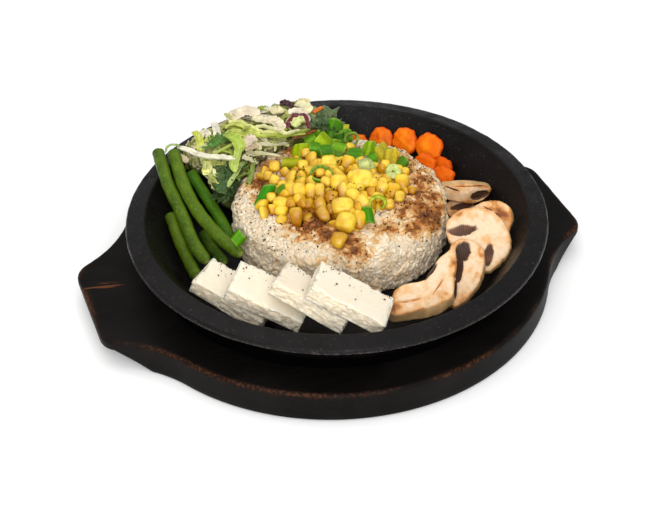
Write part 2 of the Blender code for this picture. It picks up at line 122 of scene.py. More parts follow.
MUSHROOM_SLICES = (
    # middle of the cut face, way it looks (azimuth, elevation), thickness, how much further out
    # the far face reaches on the cap side, heading of the cap, outline of the cut face
    ((90, 1.2, 37.2), (-106, 12), 7, 0.5, 90, ((-15.2, 5.1), (-11, 6.3), (-1.4, 6.4), (8.4, 5.1),
     (14.2, 3.7), (16.2, 0.8), (13.7, -3.3), (8.5, -6.5), (2, -6.8), (-5.8, -5.6), (-12.3, -4.2),
     (-15.5, -0.1))),
    ((90.8, -36.7, 44.2), (-116, 52), 5.5, 1.5, 60, ((-13.9, 5.8), (-8.4, 9), (-2.3, 10.7),
     (3.9, 10.5), (8.7, 7.5), (11.3, 2.5), (11.3, -4), (9, -9.2), (3.6, -12.1), (-3.9, -10.5),
     (-10.3, -5), (-14.3, 0.6))),
    ((73.7, -50.2, 42.1), (-122, 62), 5, 1, 20, ((-20.4, 9.2), (-16.4, 15.9), (-10.1, 19.8),
     (-2.9, 22), (4.7, 20.5), (12.1, 15.9), (17.3, 8.9), (19.8, 1.1), (19.2, -6.4), (15.7, -12.9),
     (11, -18.6), (7, -20.7), (3.1, -18.5), (-0.3, -16.3), (-6.8, -17.8), (-12.2, -14.4),
     (-14.3, -7.9), (-17.6, -2.2), (-20.3, 3.7))),
    ((57.3, -69.1, 37.3), (-122, 68), 5, 1.2, 0, ((-10.9, 17), (-6.4, 20.1), (-0.4, 20.8),
     (5.4, 18.4), (9.3, 11.8), (10.6, 4.2), (9.8, -5.7), (6.8, -14.4), (2.4, -21.8), (-2.4, -26.2),
     (-6.1, -25), (-7.1, -18.3), (-7.7, -10.1), (-10.1, -1.3), (-12.1, 8.3))),
    ((30, -80.6, 37.9), (-112, 67), 7, 4, -95, ((12.4, 28.6), (14.7, 23.8), (15.1, 17),
     (13.2, 9.5), (13.6, 2.8), (11.7, -4.6), (7, -7.9), (-1.3, -11.6), (-10.2, -14.7),
     (-19, -16.4), (-23.6, -15.4), (-24.2, -10.2), (-23.1, -5.5), (-22.5, -0.8), (-18.9, 2.5),
     (-13.6, 4.6), (-8.2, 5.3), (-3.5, 7.4), (-0.4, 13.5), (5.1, 21.7))),
    ((85.4, 1.1, 26.9), (-104, 58), 4.5, 0.5, 90, ((-8, 4.2), (-2.5, 6.2), (3.4, 6), (9, 3.5),
     (9.1, -0.8), (5.9, -4.7), (-0.8, -6.2), (-6.6, -5.7), (-9.2, -0.6))),
)


# ---- colours and settings

def linear(code):
    """Turn an sRGB hex code into the linear red, green and blue that a shader takes."""
    shares = np.array([int(code[i:i + 2], 16) / 255 for i in (0, 2, 4)])
    return np.where(shares <= 0.04045, shares / 12.92, ((shares + 0.055) / 1.055) ** 2.4)


def colour(name, description, code):
    """A colour setting, given in hex."""
    return FloatVectorProperty(name=name, description=description, subtype="COLOR", size=3,
                               min=0.0, max=1.0, default=linear(code).tolist())


def length(name, description, metres):
    """A size setting in metres."""
    return FloatProperty(name=name, description=description, unit="LENGTH", precision=5,
                         min=0.0, default=metres)


def angle(name, description, degrees):
    """An angle setting, given in degrees."""
    return FloatProperty(name=name, description=description, subtype="ANGLE",
                         default=math.radians(degrees))


def count(name, description, number):
    """A setting for how many."""
    return IntProperty(name=name, description=description, min=1, default=number)


class BoardSettings(PropertyGroup):
    stain: colour("Stain", "Black stain over the wood", "0c0a09")
    bare: colour("Bare wood", "Wood that shows where the stain has worn off", "6e3f22")
    edge_round: length("Edge rounding", "Radius of the board's worn edges", 0.0024)


class PanSettings(PropertyGroup):
    iron: colour("Iron", "Seasoned iron", "110f0f")
    # The scuff colour also paints the highlight along the lip's lower edge.
    scuff: colour("Scuffs", "Light scuffs and dust in the iron's pores", "5a5450")
    casting_grain: length("Casting grain", "Size of the sand grain cast into the iron", 0.0011)


class RiceSettings(PropertyGroup):
    grain: colour("Grain", "Cooked white rice", "ead8be")
    sauce: colour("Sauce", "Brown pepper sauce soaked into the rice", "ac6610")
    grain_length: length("Grain length", "Length of one cooked grain", 0.0068)
    grains: count("Grains", "How many grains cover the mound", 3200)


class CornSettings(PropertyGroup):
    crown: colour("Crown", "Skin of a kernel's crown", "daa60c")
    # The root colour is also painted shade: it darkens the kernels' lower ends in the gaps, and
    # the heap's core.
    root: colour("Root", "Deep yellow end of a kernel that sat on the cob", "a66800")
    kernel_length: length("Kernel length", "Length of a kernel from crown to root", 0.0088)
    kernels: count("Kernels", "How many kernels the heap is drawn from", 220)


class SaladSettings(PropertyGroup):
    shreds: count("Shreds", "How many fine shreds fill the heap", 800)
    shred_thickness: length("Shred thickness", "Thickness of a cabbage shred", 0.0009)


class TofuSettings(PropertyGroup):
    curd: colour("Curd", "Smooth outside of the tofu", "ebe1cc")
    cut: colour("Cut", "Crumbly side where the tofu was cut", "f4e6cc")


class BeanSettings(PropertyGroup):
    skin: colour("Skin", "Skin of a cooked green bean", "3e570a")
    dark: colour("Dark skin", "Darker stretches of the skin", "203606")
    flesh: colour("Flesh", "Pale cut end of a bean", "8d9c4c")


class CarrotSettings(PropertyGroup):
    flesh: colour("Flesh", "Cut face of the carrot", "e87006")
    rim: colour("Rim", "Redder outside of the carrot", "d64e04")
    ridge: length("Ridge height", "Height of the crinkle cut's ridges", 0.00012)


class MushroomSettings(PropertyGroup):
    flesh: colour("Flesh", "Cut flesh of the mushroom", "ebd0ae")
    skin: colour("Skin", "Browned skin of the cap", "e8bc82")
    gill: colour("Gills", "Gills under the cap", "4a3022")


class OnionSettings(PropertyGroup):
    leaf: colour("Leaf", "Green of the spring onion's leaf", "3c780a")
    pale: colour("Pale part", "Pale green part near the onion's root", "b4c85c")
    wall: length("Wall", "Thickness of a ring's wall", 0.0011)


class PepperSettings(PropertyGroup):
    husk: colour("Husk", "Cracked black pepper", "241a14")
    specks: count("Specks", "How many specks of pepper lie on the dish", 5200)


class StageSettings(PropertyGroup):
    floor: colour("Floor", "Plain pale floor", "ffffff")
    azimuth: angle("Azimuth", "Camera's heading round the dish", -19.55)
    elevation: angle("Elevation", "Camera's height above the horizon", 37.90)
    roll: angle("Roll", "Camera's tilt about its own axis", -1.18)
    distance: length("Distance", "From the camera to the point it looks at", 0.94036)
    ambient: FloatProperty(name="Ambient", description="Strength of the light from all round",
                           default=0.50, min=0.0)
    lens: FloatProperty(name="Lens", description="Focal length in millimetres",
                        default=82.39, min=1.0)


class DishSettings(PropertyGroup):
    board: PointerProperty(type=BoardSettings)
    pan: PointerProperty(type=PanSettings)
    rice: PointerProperty(type=RiceSettings)
    corn: PointerProperty(type=CornSettings)
    salad: PointerProperty(type=SaladSettings)
    tofu: PointerProperty(type=TofuSettings)
    bean: PointerProperty(type=BeanSettings)
    carrot: PointerProperty(type=CarrotSettings)
    mushroom: PointerProperty(type=MushroomSettings)
    onion: PointerProperty(type=OnionSettings)
    pepper: PointerProperty(type=PepperSettings)
    stage: PointerProperty(type=StageSettings)


# ---- noise

def lattice(x, y, z, seed):
    """A fixed pseudo-random value from -1 to 1 for each whole-number point."""
    mixed = x * 374761393 + y * 668265263 + z * 1440662683 + seed * 1274126177
    mixed = (mixed ^ (mixed >> 13)) * 1103515245
    mixed = mixed ^ (mixed >> 16)
    return (mixed & 0xFFFF) / 32767.5 - 1.0


def noise(points, size, seed=0):
    """Smooth bumps about size across: lattice values blended with the fade 3t^2 - 2t^3."""
    place = np.asarray(points) / size
    base = np.floor(place).astype(np.int64)
    part = place - base
    part = part * part * (3 - 2 * part)
    total = 0.0
    for corner in np.ndindex(2, 2, 2):
        weight = np.where(corner, part, 1 - part).prod(-1)
        total = total + weight * lattice(*np.moveaxis(base + corner, -1, 0), seed)
    return total


def fractal(points, size, seed=0, octaves=3):
    """Sum of noises, each half the size and half the height of the one before."""
    return sum(noise(points, size / 2 ** i, seed + i) / 2 ** i for i in range(octaves))


def smooth_step(value, low, high):
    """0 below low, 1 above high, and the fade 3t^2 - 2t^3 between."""
    share = np.clip((value - low) / (high - low), 0, 1)
    return share * share * (3 - 2 * share)


def unit(vectors):
    """Vectors divided by their lengths."""
    return vectors / np.maximum(np.linalg.norm(vectors, axis=-1, keepdims=True), 1e-12)


def on_dish(points):
    """Millimetres on the dish to metres in the frame."""
    return np.asarray(points, float) * MM + PAN_CENTRE


def ring(count, shift=0.0):
    """Even headings round a full turn, moved on by a share of one step."""
    return math.tau * (np.arange(count) + shift) / count


def channels(*values):
    """Arrays and numbers of any matching shapes, stacked along a new last axis."""
    return np.stack(np.broadcast_arrays(*values), -1)


def polar(radius, turn, height):
    """Points from a radius along a heading: radius times its cosine and sine, and a height."""
    return channels(radius * np.cos(turn), radius * np.sin(turn), height)


def squarish(turn, x_power, y_power):
    """A section round a turn: cosine and sine, squared off by powers under 1."""
    x, y = np.cos(turn), np.sin(turn)
    return np.sign(x) * np.abs(x) ** x_power, np.sign(y) * np.abs(y) ** y_power


def added(name, data):
    """A new object in the scene."""
    made = bpy.data.objects.new(name, data)
    bpy.context.scene.collection.objects.link(made)
    return made


# ---- meshes

def tube_faces(rows, cols):
    """Quads over a closed tube of rows and columns, and a fan of triangles at both its poles."""
    r, c = np.meshgrid(np.arange(rows - 1), np.arange(cols), indexing="ij")
    n = (c + 1) % cols
    quads = channels(r * cols + c, r * cols + n, (r + 1) * cols + n, (r + 1) * cols + c)
    c, n, end = c[0], n[0], (rows - 1) * cols
    first, last = rows * cols, rows * cols + 1
    fans = np.concatenate([channels(n, c, first), channels(end + c, end + n, last)])
    return quads.reshape(-1, 4), fans


def signed_volume(points, triangles):
    """Six times the volume inside a closed mesh, negative where it is inside out."""
    a, b, c = (points[triangles[:, i]] for i in range(3))
    return float(np.einsum("ij,ij->i", a, np.cross(b, c)).sum())


def shells(name, parts, material, replaces=(), smooth=True):
    """One object from closed tubes. Each part is (grid, tone): a grid of (rows, cols, 3) points,
    or (copies, rows, cols, 3), wraps round its columns and is closed with a point at each end.
    tone is stored per point and read by the material."""
    points, tones, quads, fans, offset = [], [], [], [], 0
    for grid, tone in parts:
        grid = np.asarray(grid, float)
        grid = grid.reshape(-1, *grid.shape[-3:])
        copies, rows, cols = grid.shape[:3]
        spots, tone = (np.concatenate([data.reshape(copies, -1, 3), data[:, [0, -1]].mean(2)], 1)
                       for data in (grid, np.broadcast_to(tone, grid.shape)))
        quad, fan = tube_faces(rows, cols)
        halves = np.concatenate([fan, quad[:, :3], quad[:, [0, 2, 3]]])
        if signed_volume(spots[0], halves) < 0:
            quad, fan = quad[:, ::-1], fan[:, ::-1]
        starts = offset + np.arange(copies)[:, None, None] * spots.shape[1]
        points.append(spots.reshape(-1, 3))
        tones.append(tone.reshape(-1, 3))
        quads.append((quad + starts).reshape(-1, 4))
        fans.append((fan + starts).reshape(-1, 3))
        offset += len(points[-1])
    points, tones, quads, fans = (np.concatenate(rows) for rows in (points, tones, quads, fans))
    mesh = bpy.data.meshes.new(name)
    mesh.vertices.add(len(points))
    mesh.vertices.foreach_set("co", points.ravel())
    mesh.loops.add(quads.size + fans.size)
    mesh.loops.foreach_set("vertex_index", np.r_[quads.ravel(), fans.ravel()])
    mesh.polygons.add(len(quads) + len(fans))
    sizes = np.repeat((4, 3), (len(quads), len(fans)))
    mesh.polygons.foreach_set("loop_start", np.cumsum(sizes) - sizes)
    mesh.polygons.foreach_set("use_smooth", np.full(len(sizes), smooth))
    mesh.update(calc_edges=True)
    layer = mesh.attributes.new("tone", "FLOAT_COLOR", "POINT")
    layer.data.foreach_set("color", np.c_[tones, np.ones(len(tones))].ravel())
    mesh.materials.append(material)
    piece = added(name, mesh)
    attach(piece, "root")
    if replaces:
        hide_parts(*replaces)
    return piece


def grid_normals(grid):
    """Normals of a tube's grid from its neighbours along both parameters."""
    along = np.gradient(grid, axis=-3)
    around = np.roll(grid, -1, -2) - np.roll(grid, 1, -2)
    return unit(np.cross(around, along))


def outward(grid):
    """Grid normals turned to point away from the grid's own middle."""
    normals = grid_normals(grid)
    away = grid - grid.mean((0, 1))
    return normals if (normals * away).sum() > 0 else -normals


def aim(normals, spins):
    """Turns, one for each normal: columns are side, heading and normal, spun about the normal."""
    normals = unit(np.asarray(normals, float))
    helper = np.where(np.abs(normals[:, 2:]) < 0.9, (0.0, 0.0, 1.0), (1.0, 0.0, 0.0))
    side = unit(np.cross(helper, normals))
    head = np.cross(normals, side)
    c, s = np.cos(spins)[:, None], np.sin(spins)[:, None]
    return np.stack([side * c + head * s, head * c - side * s, normals], -1)


def copies_of(template, turns, places, scales):
    """Template grid repeated: scaled, turned and placed, once for each row of the arrays."""
    scaled = template[None] * np.asarray(scales)[:, None, None, :]
    return np.einsum("nij,nrcj->nrci", turns, scaled) + np.asarray(places)[:, None, None, :]


def draws(random, total, *ranges):
    """Random numbers, a column for each (lowest, highest)."""
    return np.stack([random.uniform(*limits, total) for limits in ranges], -1)


def facing(azimuth, elevation, clock):
    """Turn for a slice: Z looks along a heading, Y points clock degrees clockwise from up."""
    azimuth, elevation, clock = np.radians((azimuth, elevation, clock))
    face = np.array((np.cos(azimuth) * np.cos(elevation), np.sin(azimuth) * np.cos(elevation),
                     np.sin(elevation)))
    up = unit(UP - face * face[2])
    right = np.cross(up, face)
    head = up * np.cos(clock) + right * np.sin(clock)
    return np.stack([np.cross(head, face), head, face], -1)


def smooth_route(points, count):
    """Points of a Catmull-Rom curve through the given ones, evenly spread over its spans."""
    knots = np.asarray(points, float)
    knots = np.vstack([2 * knots[0] - knots[1], knots, 2 * knots[-1] - knots[-2]])
    place = np.linspace(0, len(points) - 1, count)
    span = np.minimum(place.astype(int), len(points) - 2)
    t = (place - span)[:, None]
    a, b, c, d = (knots[span + i] for i in range(4))
    return 0.5 * (2 * b + (c - a) * t + (2 * a - 5 * b + 4 * c - d) * t ** 2
                  + (3 * b - a - 3 * c + d) * t ** 3)


def sides_and_ups(paths, ups):
    """Sideways and upward directions along centre lines, square to the lines."""
    tangents = unit(np.gradient(paths, axis=-2))
    sides = unit(np.cross(tangents, ups))
    return sides, np.cross(sides, tangents)


def ribbons(paths, widths, thickness, ups, curl=0.0, ruffle=0.0, waves=3.0, cols=10, phase=0.0):
    """Closed strips along centre lines. The section is a flat oval, x = cos a * width / 2 and
    y = sin a * thickness / 2. curl lifts its edges by the square of x, and ruffle waves them
    along the strip. paths is (copies, rows, 3), widths (copies, rows), ups (copies, 3)."""
    copies, rows = paths.shape[:2]
    ups = np.broadcast_to(ups, (copies, 3))[:, None, :]
    sides, normals = sides_and_ups(paths, ups)
    x, y = squarish(ring(cols), 0.8, 1.0)
    along = np.linspace(0, math.tau, rows)[:, None]
    curl, ruffle, thickness, phase = (np.reshape(value, (-1, 1, 1))
                                      for value in (curl, ruffle, thickness, phase))
    wave = np.sin(waves * along + 1.7 * x + phase)
    widths = np.broadcast_to(widths, (copies, rows))[:, :, None]
    fade = np.minimum(1, widths / (widths.max() * 0.5 + 1e-9))
    lift = curl * x ** 2 * widths + ruffle * x ** 2 * wave * fade + y * thickness / 2
    across = x * widths / 2
    return (paths[:, :, None] + sides[:, :, None] * across[..., None]
            + normals[:, :, None] * lift[..., None])


# ---- materials

def feed(tree, made, inputs):
    """Set a node's inputs: a hex colour, a plain value, or the output of another node."""
    for name, value in inputs.items():
        socket = made.inputs[name]
        if isinstance(value, bpy.types.NodeSocket):
            tree.links.new(value, socket)
        elif socket.type == "RGBA":
            socket.default_value = (*(linear(value) if isinstance(value, str) else value), 1.0)
        else:
            socket.default_value = value


def node(tree, kind, inputs=None, stops=(), out=0, **settings):
    """Add a shader node with its settings and inputs, and give back its output. Stops are a
    colour ramp's (place, colour), where a colour is hex, linear, or a grey level."""
    added = tree.nodes.new("ShaderNode" + kind)
    for name, value in settings.items():
        setattr(added, name, value)
    feed(tree, added, inputs or {})
    for index, (place, value) in enumerate(stops):
        ramp = added.color_ramp.elements
        point = ramp[index] if index < len(ramp) else ramp.new(place)
        point.position = place
        value = linear(value) if isinstance(value, str) else value
        point.color = (*(value if len(np.shape(value)) else (value,) * 3), 1.0)
    return added.outputs[out]


def material(name):
    """A new material, its node tree and its Object coordinates."""
    made = bpy.data.materials.new(name)
    made.use_nodes = True
    return made, made.node_tree, node(made.node_tree, "TexCoord", out="Object")


def sized(place, size, detail=3.0):
    """A noise texture's inputs, with its scale set for bumps that many millimetres across."""
    return {"Vector": place, "Scale": 1 / (size * MM), "Detail": detail}


def tone_channels(tree):
    """The three channels of the mesh's tone attribute, and the tone as a colour."""
    own = node(tree, "Attribute", out="Color", attribute_name="tone")
    split = tree.nodes.new("ShaderNodeSeparateColor")
    tree.links.new(own, split.inputs[0])
    return (*split.outputs, own)


def mottle(tree, place, size, stops, detail=3.0):
    """Patches about size mm across: noise taken through a colour ramp."""
    rough = node(tree, "TexNoise", sized(place, size, detail))
    return node(tree, "ValToRGB", {"Fac": rough}, stops)


def finish(made, base, rough, specular, over=(), relief=None, under=None, film=None):
    """Lay colours over a material's base and connect its shader. over lists (how far it covers,
    colour) in turn. relief is the bump's (height, mm, strength). under is (how much light goes
    below the surface, how far in red, green and blue, mm). film is a wet coat's (weight,
    roughness)."""
    tree = made.node_tree
    for share, tint in over:
        base = node(tree, "Mix", {0: share, 6: base, 7: tint}, **COLOURS)
    inputs = {"Base Color": base, "Roughness": rough, "Specular IOR Level": specular}
    if relief:
        height, depth, strength = relief
        inputs["Normal"] = node(tree, "Bump", {"Height": height, "Distance": depth * MM,
                                               "Strength": strength})
    if under:
        weight, reach, depth = under
        inputs.update({"Subsurface Weight": weight, "Subsurface Radius": reach,
                       "Subsurface Scale": depth * MM})
    if film:
        inputs["Coat Weight"], inputs["Coat Roughness"] = film
    feed(tree, tree.nodes["Principled BSDF"], inputs)
    return made


def dappled(tree, place, size, stops, detail=3.0):
    """The mesh's own colour times soft shade about size mm across, and the shade's noise."""
    rough = node(tree, "TexNoise", sized(place, size, detail))
    shade = node(tree, "ValToRGB", {"Fac": rough}, stops)
    own = tone_channels(tree)[3]
    return node(tree, "Mix", {0: 1.0, 6: own, 7: shade}, blend_type="MULTIPLY", **COLOURS), rough


# ---- board

def arc(centre, radius, start, end, steps):
    """Points round a circle between two headings in degrees."""
    turn = np.radians(np.linspace(start, end, steps))
    return np.stack([centre[0] + radius * np.cos(turn), centre[1] + radius * np.sin(turn)], -1)


def board_outline():
    """Rounded corner, hollow root curve and body circle of one quarter, mirrored twice."""
    heading = math.radians(HANDLE_ROOT_ANGLE)
    reach = BOARD_RADIUS + HANDLE_ROOT_FILLET
    root = (reach * math.cos(heading), reach * math.sin(heading))
    end = np.stack([np.full(12, BOARD_HALF_LENGTH), np.linspace(0, HANDLE_CORNER[1], 13)[:-1]], -1)
    quarter = np.vstack([end,
                         arc(HANDLE_CORNER, HANDLE_CORNER_RADIUS, 0, 60, 14),
                         arc(root, HANDLE_ROOT_FILLET, 240, 180 + HANDLE_ROOT_ANGLE, 26),
                         arc((0, 0), BOARD_RADIUS, HANDLE_ROOT_ANGLE, 90, 62)[1:]])
    upper = np.vstack([quarter, (quarter * (-1, 1))[::-1][1:]])
    return np.vstack([upper, (upper * (1, -1))[::-1][1:-1]])


def board_grid(edge_round):
    """The outline's profile, from the recess's middle over the top edge to the underside's
    middle. Between the recess and the edge it blends the recess circle into the outline.
    Also gives how worn each row of the profile is."""
    outline = board_outline()
    heading = unit(np.roll(outline, -1, 0) - np.roll(outline, 1, 0))
    normal = np.stack([heading[:, 1], -heading[:, 0]], -1)
    circle = unit(outline)
    lip, gap = 0.0008, 0.0001       # rounding of the recess's edge, and how far it stands in

    def under(points):
        """The underside's height: a straight rise from where the cut starts to the tip."""
        run = BOARD_HALF_LENGTH - 0.006 - HANDLE_CUT_START
        rise = BOARD_THICKNESS - HANDLE_TIP_THICKNESS
        return np.clip((np.abs(points[:, 0]) - HANDLE_CUT_START) / run, 0, 1) * rise

    rows, wear = [], []

    def add(points, height, worn=0.0):
        """One more row of the profile."""
        rows.append(np.c_[points, np.broadcast_to(height, len(points))])
        wear.append(worn)

    for share in (0.02, 0.5, 0.85, 0.97, 0.99):
        add(circle * RECESS_RADIUS * share, BOARD_THICKNESS - RECESS_DEPTH)
    for turn in np.radians((0, 30, 60, 90)):
        add(circle * (RECESS_RADIUS + lip * (1 - math.cos(turn)) - gap),
            BOARD_THICKNESS - lip * (1 - math.sin(turn)) - gap * math.cos(turn))
    inset = outline - normal * edge_round
    rim = circle * (RECESS_RADIUS + 0.0010)
    for share in np.linspace(0.04, 1, 18):
        add(rim + (inset - rim) * share, BOARD_THICKNESS, 0.25 if share == 1 else 0)
    for turn, worn in ((12, 0.7), (28, 1.0), (45, 1.0), (62, 0.8), (78, 0.4), (90, 0.15)):
        turn = math.radians(turn)
        add(inset + normal * edge_round * math.sin(turn),
            BOARD_THICKNESS - edge_round * (1 - math.cos(turn)), worn)
    foot = under(outline)
    top = BOARD_THICKNESS - edge_round
    for share in (0.2, 0.4, 0.6, 0.8, 1.0):
        add(outline, top + (foot + edge_round - top) * share)
    for turn in np.radians((30, 60, 90)):
        add(inset + normal * edge_round * math.cos(turn),
            foot + edge_round * (1 - math.sin(turn)))
    for share in (0.97, 0.94, 0.9, 0.86, 0.8, 0.5, 0.02):
        add(inset * share, under(inset * share))
    return np.stack(rows), np.array(wear)


def build_board(settings):
    """Dents deepen where the board is worn, and none are cut into its underside."""
    grid, wear = board_grid(settings.edge_round)
    away = unit(grid * (1, 1, 0)) + (0, 0, 0.6)
    dents = fractal(grid, 0.010, 4) * 0.00020 + noise(grid, 0.0035, 9) * 0.00008
    dents = dents * (0.15 + 0.85 * np.sqrt(wear))[:, None] * (grid[..., 2] > 0.001)
    grid = grid + away * dents[..., None]
    patchy = smooth_step(fractal(grid, 0.022, 12), -0.55, 0.45)
    tone = channels(wear[:, None] * patchy, 0.0, 0.0)
    shells("wooden_board", [(grid, tone)], stained_wood(settings), ["board"])


def stained_wood(settings):
    """Softwood under black stain: a dull dark face with faint grain along the handles. Brown
    wood shows on worn edges and in scratches."""
    made, tree, place = material("black_stained_wood")
    wear = tone_channels(tree)[0]
    along = node(tree, "Mapping", {"Vector": place, "Scale": (0.06, 1.0, 1.0)})
    grain = node(tree, "TexNoise", sized(along, 2.2, 4.0))
    stain = np.array(settings.stain)
    base = node(tree, "ValToRGB", {"Fac": grain},
                [(0.35, stain * 0.7), (0.55, stain), (0.75, stain * 1.5)])
    dusty = mottle(tree, place, 35, [(0.45, 0.0), (0.75, 0.22)])
    chips = node(tree, "TexNoise", sized(place, 1.8, 4.0))
    chipped = node(tree, "ValToRGB", {"Fac": chips}, [(0.46, 0.08), (0.64, 0.6)])
    ends = node(tree, "ValToRGB", {"Fac": chips}, [(0.30, 0.2), (0.50, 1.0)])
    tip = soft_spot(tree, place, (45, 38, 45), (7.2, -0.7, -0.9))
    chipped = node(tree, "Mix", {0: tip, 2: chipped, 3: ends})
    worn = node(tree, "Math", {0: wear, 1: chipped}, operation="MULTIPLY")
    worn = node(tree, "Math", {0: worn, 1: scratches(tree, place)}, operation="MAXIMUM")
    bare = node(tree, "Mix", {0: grain, 6: settings.bare, 7: "4a2c1a"}, **COLOURS)
    return finish(made, base, 0.5, 0.07, [(dusty, "262221"), (worn, bare)], (grain, 0.1, 0.6))


def soft_spot(tree, place, scale, shift=(0.0, 0.0, 0.0)):
    """A spot that is 1 at its middle and fades to 0 at its edge, 1 / scale metres away."""
    spot = node(tree, "Mapping", {"Vector": place, "Location": shift, "Scale": scale})
    return node(tree, "TexGradient", {"Vector": spot}, out=1, gradient_type="SPHERICAL")


def scratches(tree, place):
    """Streaks across the left handle: noise drawn out along one heading, inside a soft spot."""
    turned = node(tree, "Mapping", {"Vector": place, "Location": (0.1469, 0.0140, -0.020),
                                    "Rotation": (0, 0, 0.20)})
    drawn = node(tree, "Mapping", {"Vector": turned, "Scale": (30, 420, 30)})
    lines = node(tree, "TexNoise", {"Vector": drawn, "Scale": 1.0, "Detail": 3.0})
    lines = node(tree, "ValToRGB", {"Fac": lines}, [(0.50, 0.0), (0.56, 1.0)])
    spot = soft_spot(tree, turned, (62, 260, 120))
    inside = node(tree, "Math", {0: spot, 1: 2.2}, operation="MULTIPLY", use_clamp=True)
    return node(tree, "Math", {0: lines, 1: inside}, operation="MULTIPLY")


# ---- pan

def pan_profile():
    """(radius, height) rows from the floor's middle over the rim to the base's middle."""
    fall = (CREST_RADIUS - FLOOR_RADIUS) / (CREST_Z - FLOOR_Z)
    slope = math.degrees(math.atan2(1, fall))
    fillet, thickness, ring_width, ring_fall = 0.010, 0.0050, 0.0098, 0.0018
    tangent = fillet * math.tan(math.radians(slope / 2))
    floor = [(r, FLOOR_Z) for r in (0.002, 0.03, 0.06, 0.075, 0.085)]
    bend = arc((FLOOR_RADIUS - tangent, FLOOR_Z + fillet), fillet, -90, -90 + slope, 8)
    foot, head = bend[-1], np.array((CREST_RADIUS - 0.0010, CREST_Z - 0.0016))
    wall = [foot + (head - foot) * s for s in np.linspace(0.06, 1, 16)]
    start = CREST_RADIUS + 0.0006
    crest = [(CREST_RADIUS - 0.0006, CREST_Z - 0.0008), (CREST_RADIUS - 0.0001, CREST_Z - 0.0002),
             (start, CREST_Z)]
    rim = [(start + ring_width * s, CREST_Z - ring_fall * s) for s in np.linspace(0.12, 1, 7)]
    lip = [(0.1300, 0.0480), (0.1306, 0.0472), (0.1309, 0.0462), (0.1308, 0.0452),
           (0.1303, 0.0446), (0.1292, 0.0442)]
    shift = thickness / math.sin(math.radians(slope))
    outer = [(FLOOR_RADIUS + shift + (z - FLOOR_Z) * fall, z)
             for z in np.linspace(0.0423, 0.0155, 10)]
    low, base = BOARD_THICKNESS - RECESS_DEPTH + 0.0003, outer[-1][0] - 0.0030
    bottom = [(base + 0.0018, low + 0.0006), (base, low), (base * 0.6, low), (0.002, low)]
    return np.vstack([floor, bend, wall, crest, rim, lip, outer, bottom])


def build_pan(settings):
    """The profile turned round the pan's axis, roughened by the sand of its mould."""
    profile = pan_profile()
    grid = polar(profile[:, :1], ring(360), profile[:, 1:])
    bumps = fractal(grid, 0.007, 31) * 0.00012 + noise(grid, 0.0022, 40) * 0.00007
    height, radius = grid[..., 2], np.hypot(grid[..., 0], grid[..., 1])
    # The band along the lip's lower edge is worn, and also carries a painted highlight.
    lip = smooth_step(height, 0.0440, 0.0446) * (1 - smooth_step(height, 0.0446, 0.0466))
    tone = channels(lip * smooth_step(radius, 0.1290, 0.1300), 0.0, 0.0)
    grid = grid + outward(grid) * bumps[..., None] + PAN_CENTRE
    shells("iron_pan", [(grid, tone)], seasoned_iron(settings), ["pan"])


def seasoned_iron(settings):
    """Sand cast iron, seasoned black with oil: near black, satin and finely grained. Pale dust
    sits in the pores, and the lip's lower edge is lighter, worn and with a painted highlight."""
    made, tree, place = material("seasoned_cast_iron")
    lip_wear_and_highlight = tone_channels(tree)[0]
    iron = np.array(settings.iron)
    base = mottle(tree, place, 26, [(0.3, iron * 0.7), (0.7, iron * 1.3)])
    pores = node(tree, "TexNoise", {**sized(place, 2.0, 4.0), "Roughness": 0.7})
    dust = node(tree, "ValToRGB", {"Fac": pores}, [(0.63, 0.0), (0.71, 0.8)])
    # Light specks along the lip's lower edge: wear, and a painted highlight.
    edge = node(tree, "ValToRGB", {"Fac": pores}, [(0.42, 0.0), (0.60, 0.8)])
    edge = node(tree, "Math", {0: edge, 1: lip_wear_and_highlight}, operation="MULTIPLY")
    light = node(tree, "Math", {0: dust, 1: edge}, operation="MAXIMUM")
    satin = mottle(tree, place, 14, [(0.38, 0.26), (0.62, 0.52)])
    grit = node(tree, "TexNoise", sized(place, settings.casting_grain / MM))
    return finish(made, base, satin, 0.13, [(light, settings.scuff)], (grit, 0.4, 1.0))


# ---- rice

SAUCE_SPOTS = (
    # place on the dish, reach, strength
    (57, -5, 11, 0.95), (51, -25, 13, 0.9), (40, -16, 11, 0.75), (38, -32, 9, 0.6),
    (62, 8, 9, 0.8), (60, 30, 9, 0.65), (22, -28, 9, 0.6), (61, -20, 9, 0.75), (-20, -6, 13, 1),
    (-9, -2, 12, 1), (-13, -22, 9, 0.9), (-28, -13, 8, 0.8), (-5, -31, 10, 0.9), (-34, 44, 9, 1),
    (-38, 27, 7, 0.8), (-24, 60, 9, 0.7), (2, 72, 12, 0.8), (-27, -45, 6, 0.5), (8, -36, 7, 0.4),
    (-4, -43, 8, 0.6), (54, 46, 10, 0.5), (62, 18, 9, 0.6),
)


def sauce_amount(points, seed=50):
    """How far the sauce has soaked in: soft spots at chosen places, broken up by noise."""
    total = np.zeros(points.shape[:-1])
    for x, y, reach, strength in SAUCE_SPOTS:
        away = np.hypot(points[..., 0] - x, points[..., 1] - y) / reach
        total = np.maximum(total, strength * np.exp(-away ** 2 * 0.8))
    broken = fractal(points, 7.0, seed) * 0.5 + noise(points, 2.6, seed + 5) * 0.9
    total = total * smooth_step(points[..., 2], 34, 47)
    return np.clip(total * (1.2 + 0.8 * broken) - 0.12 + 0.06 * broken, 0, 1)


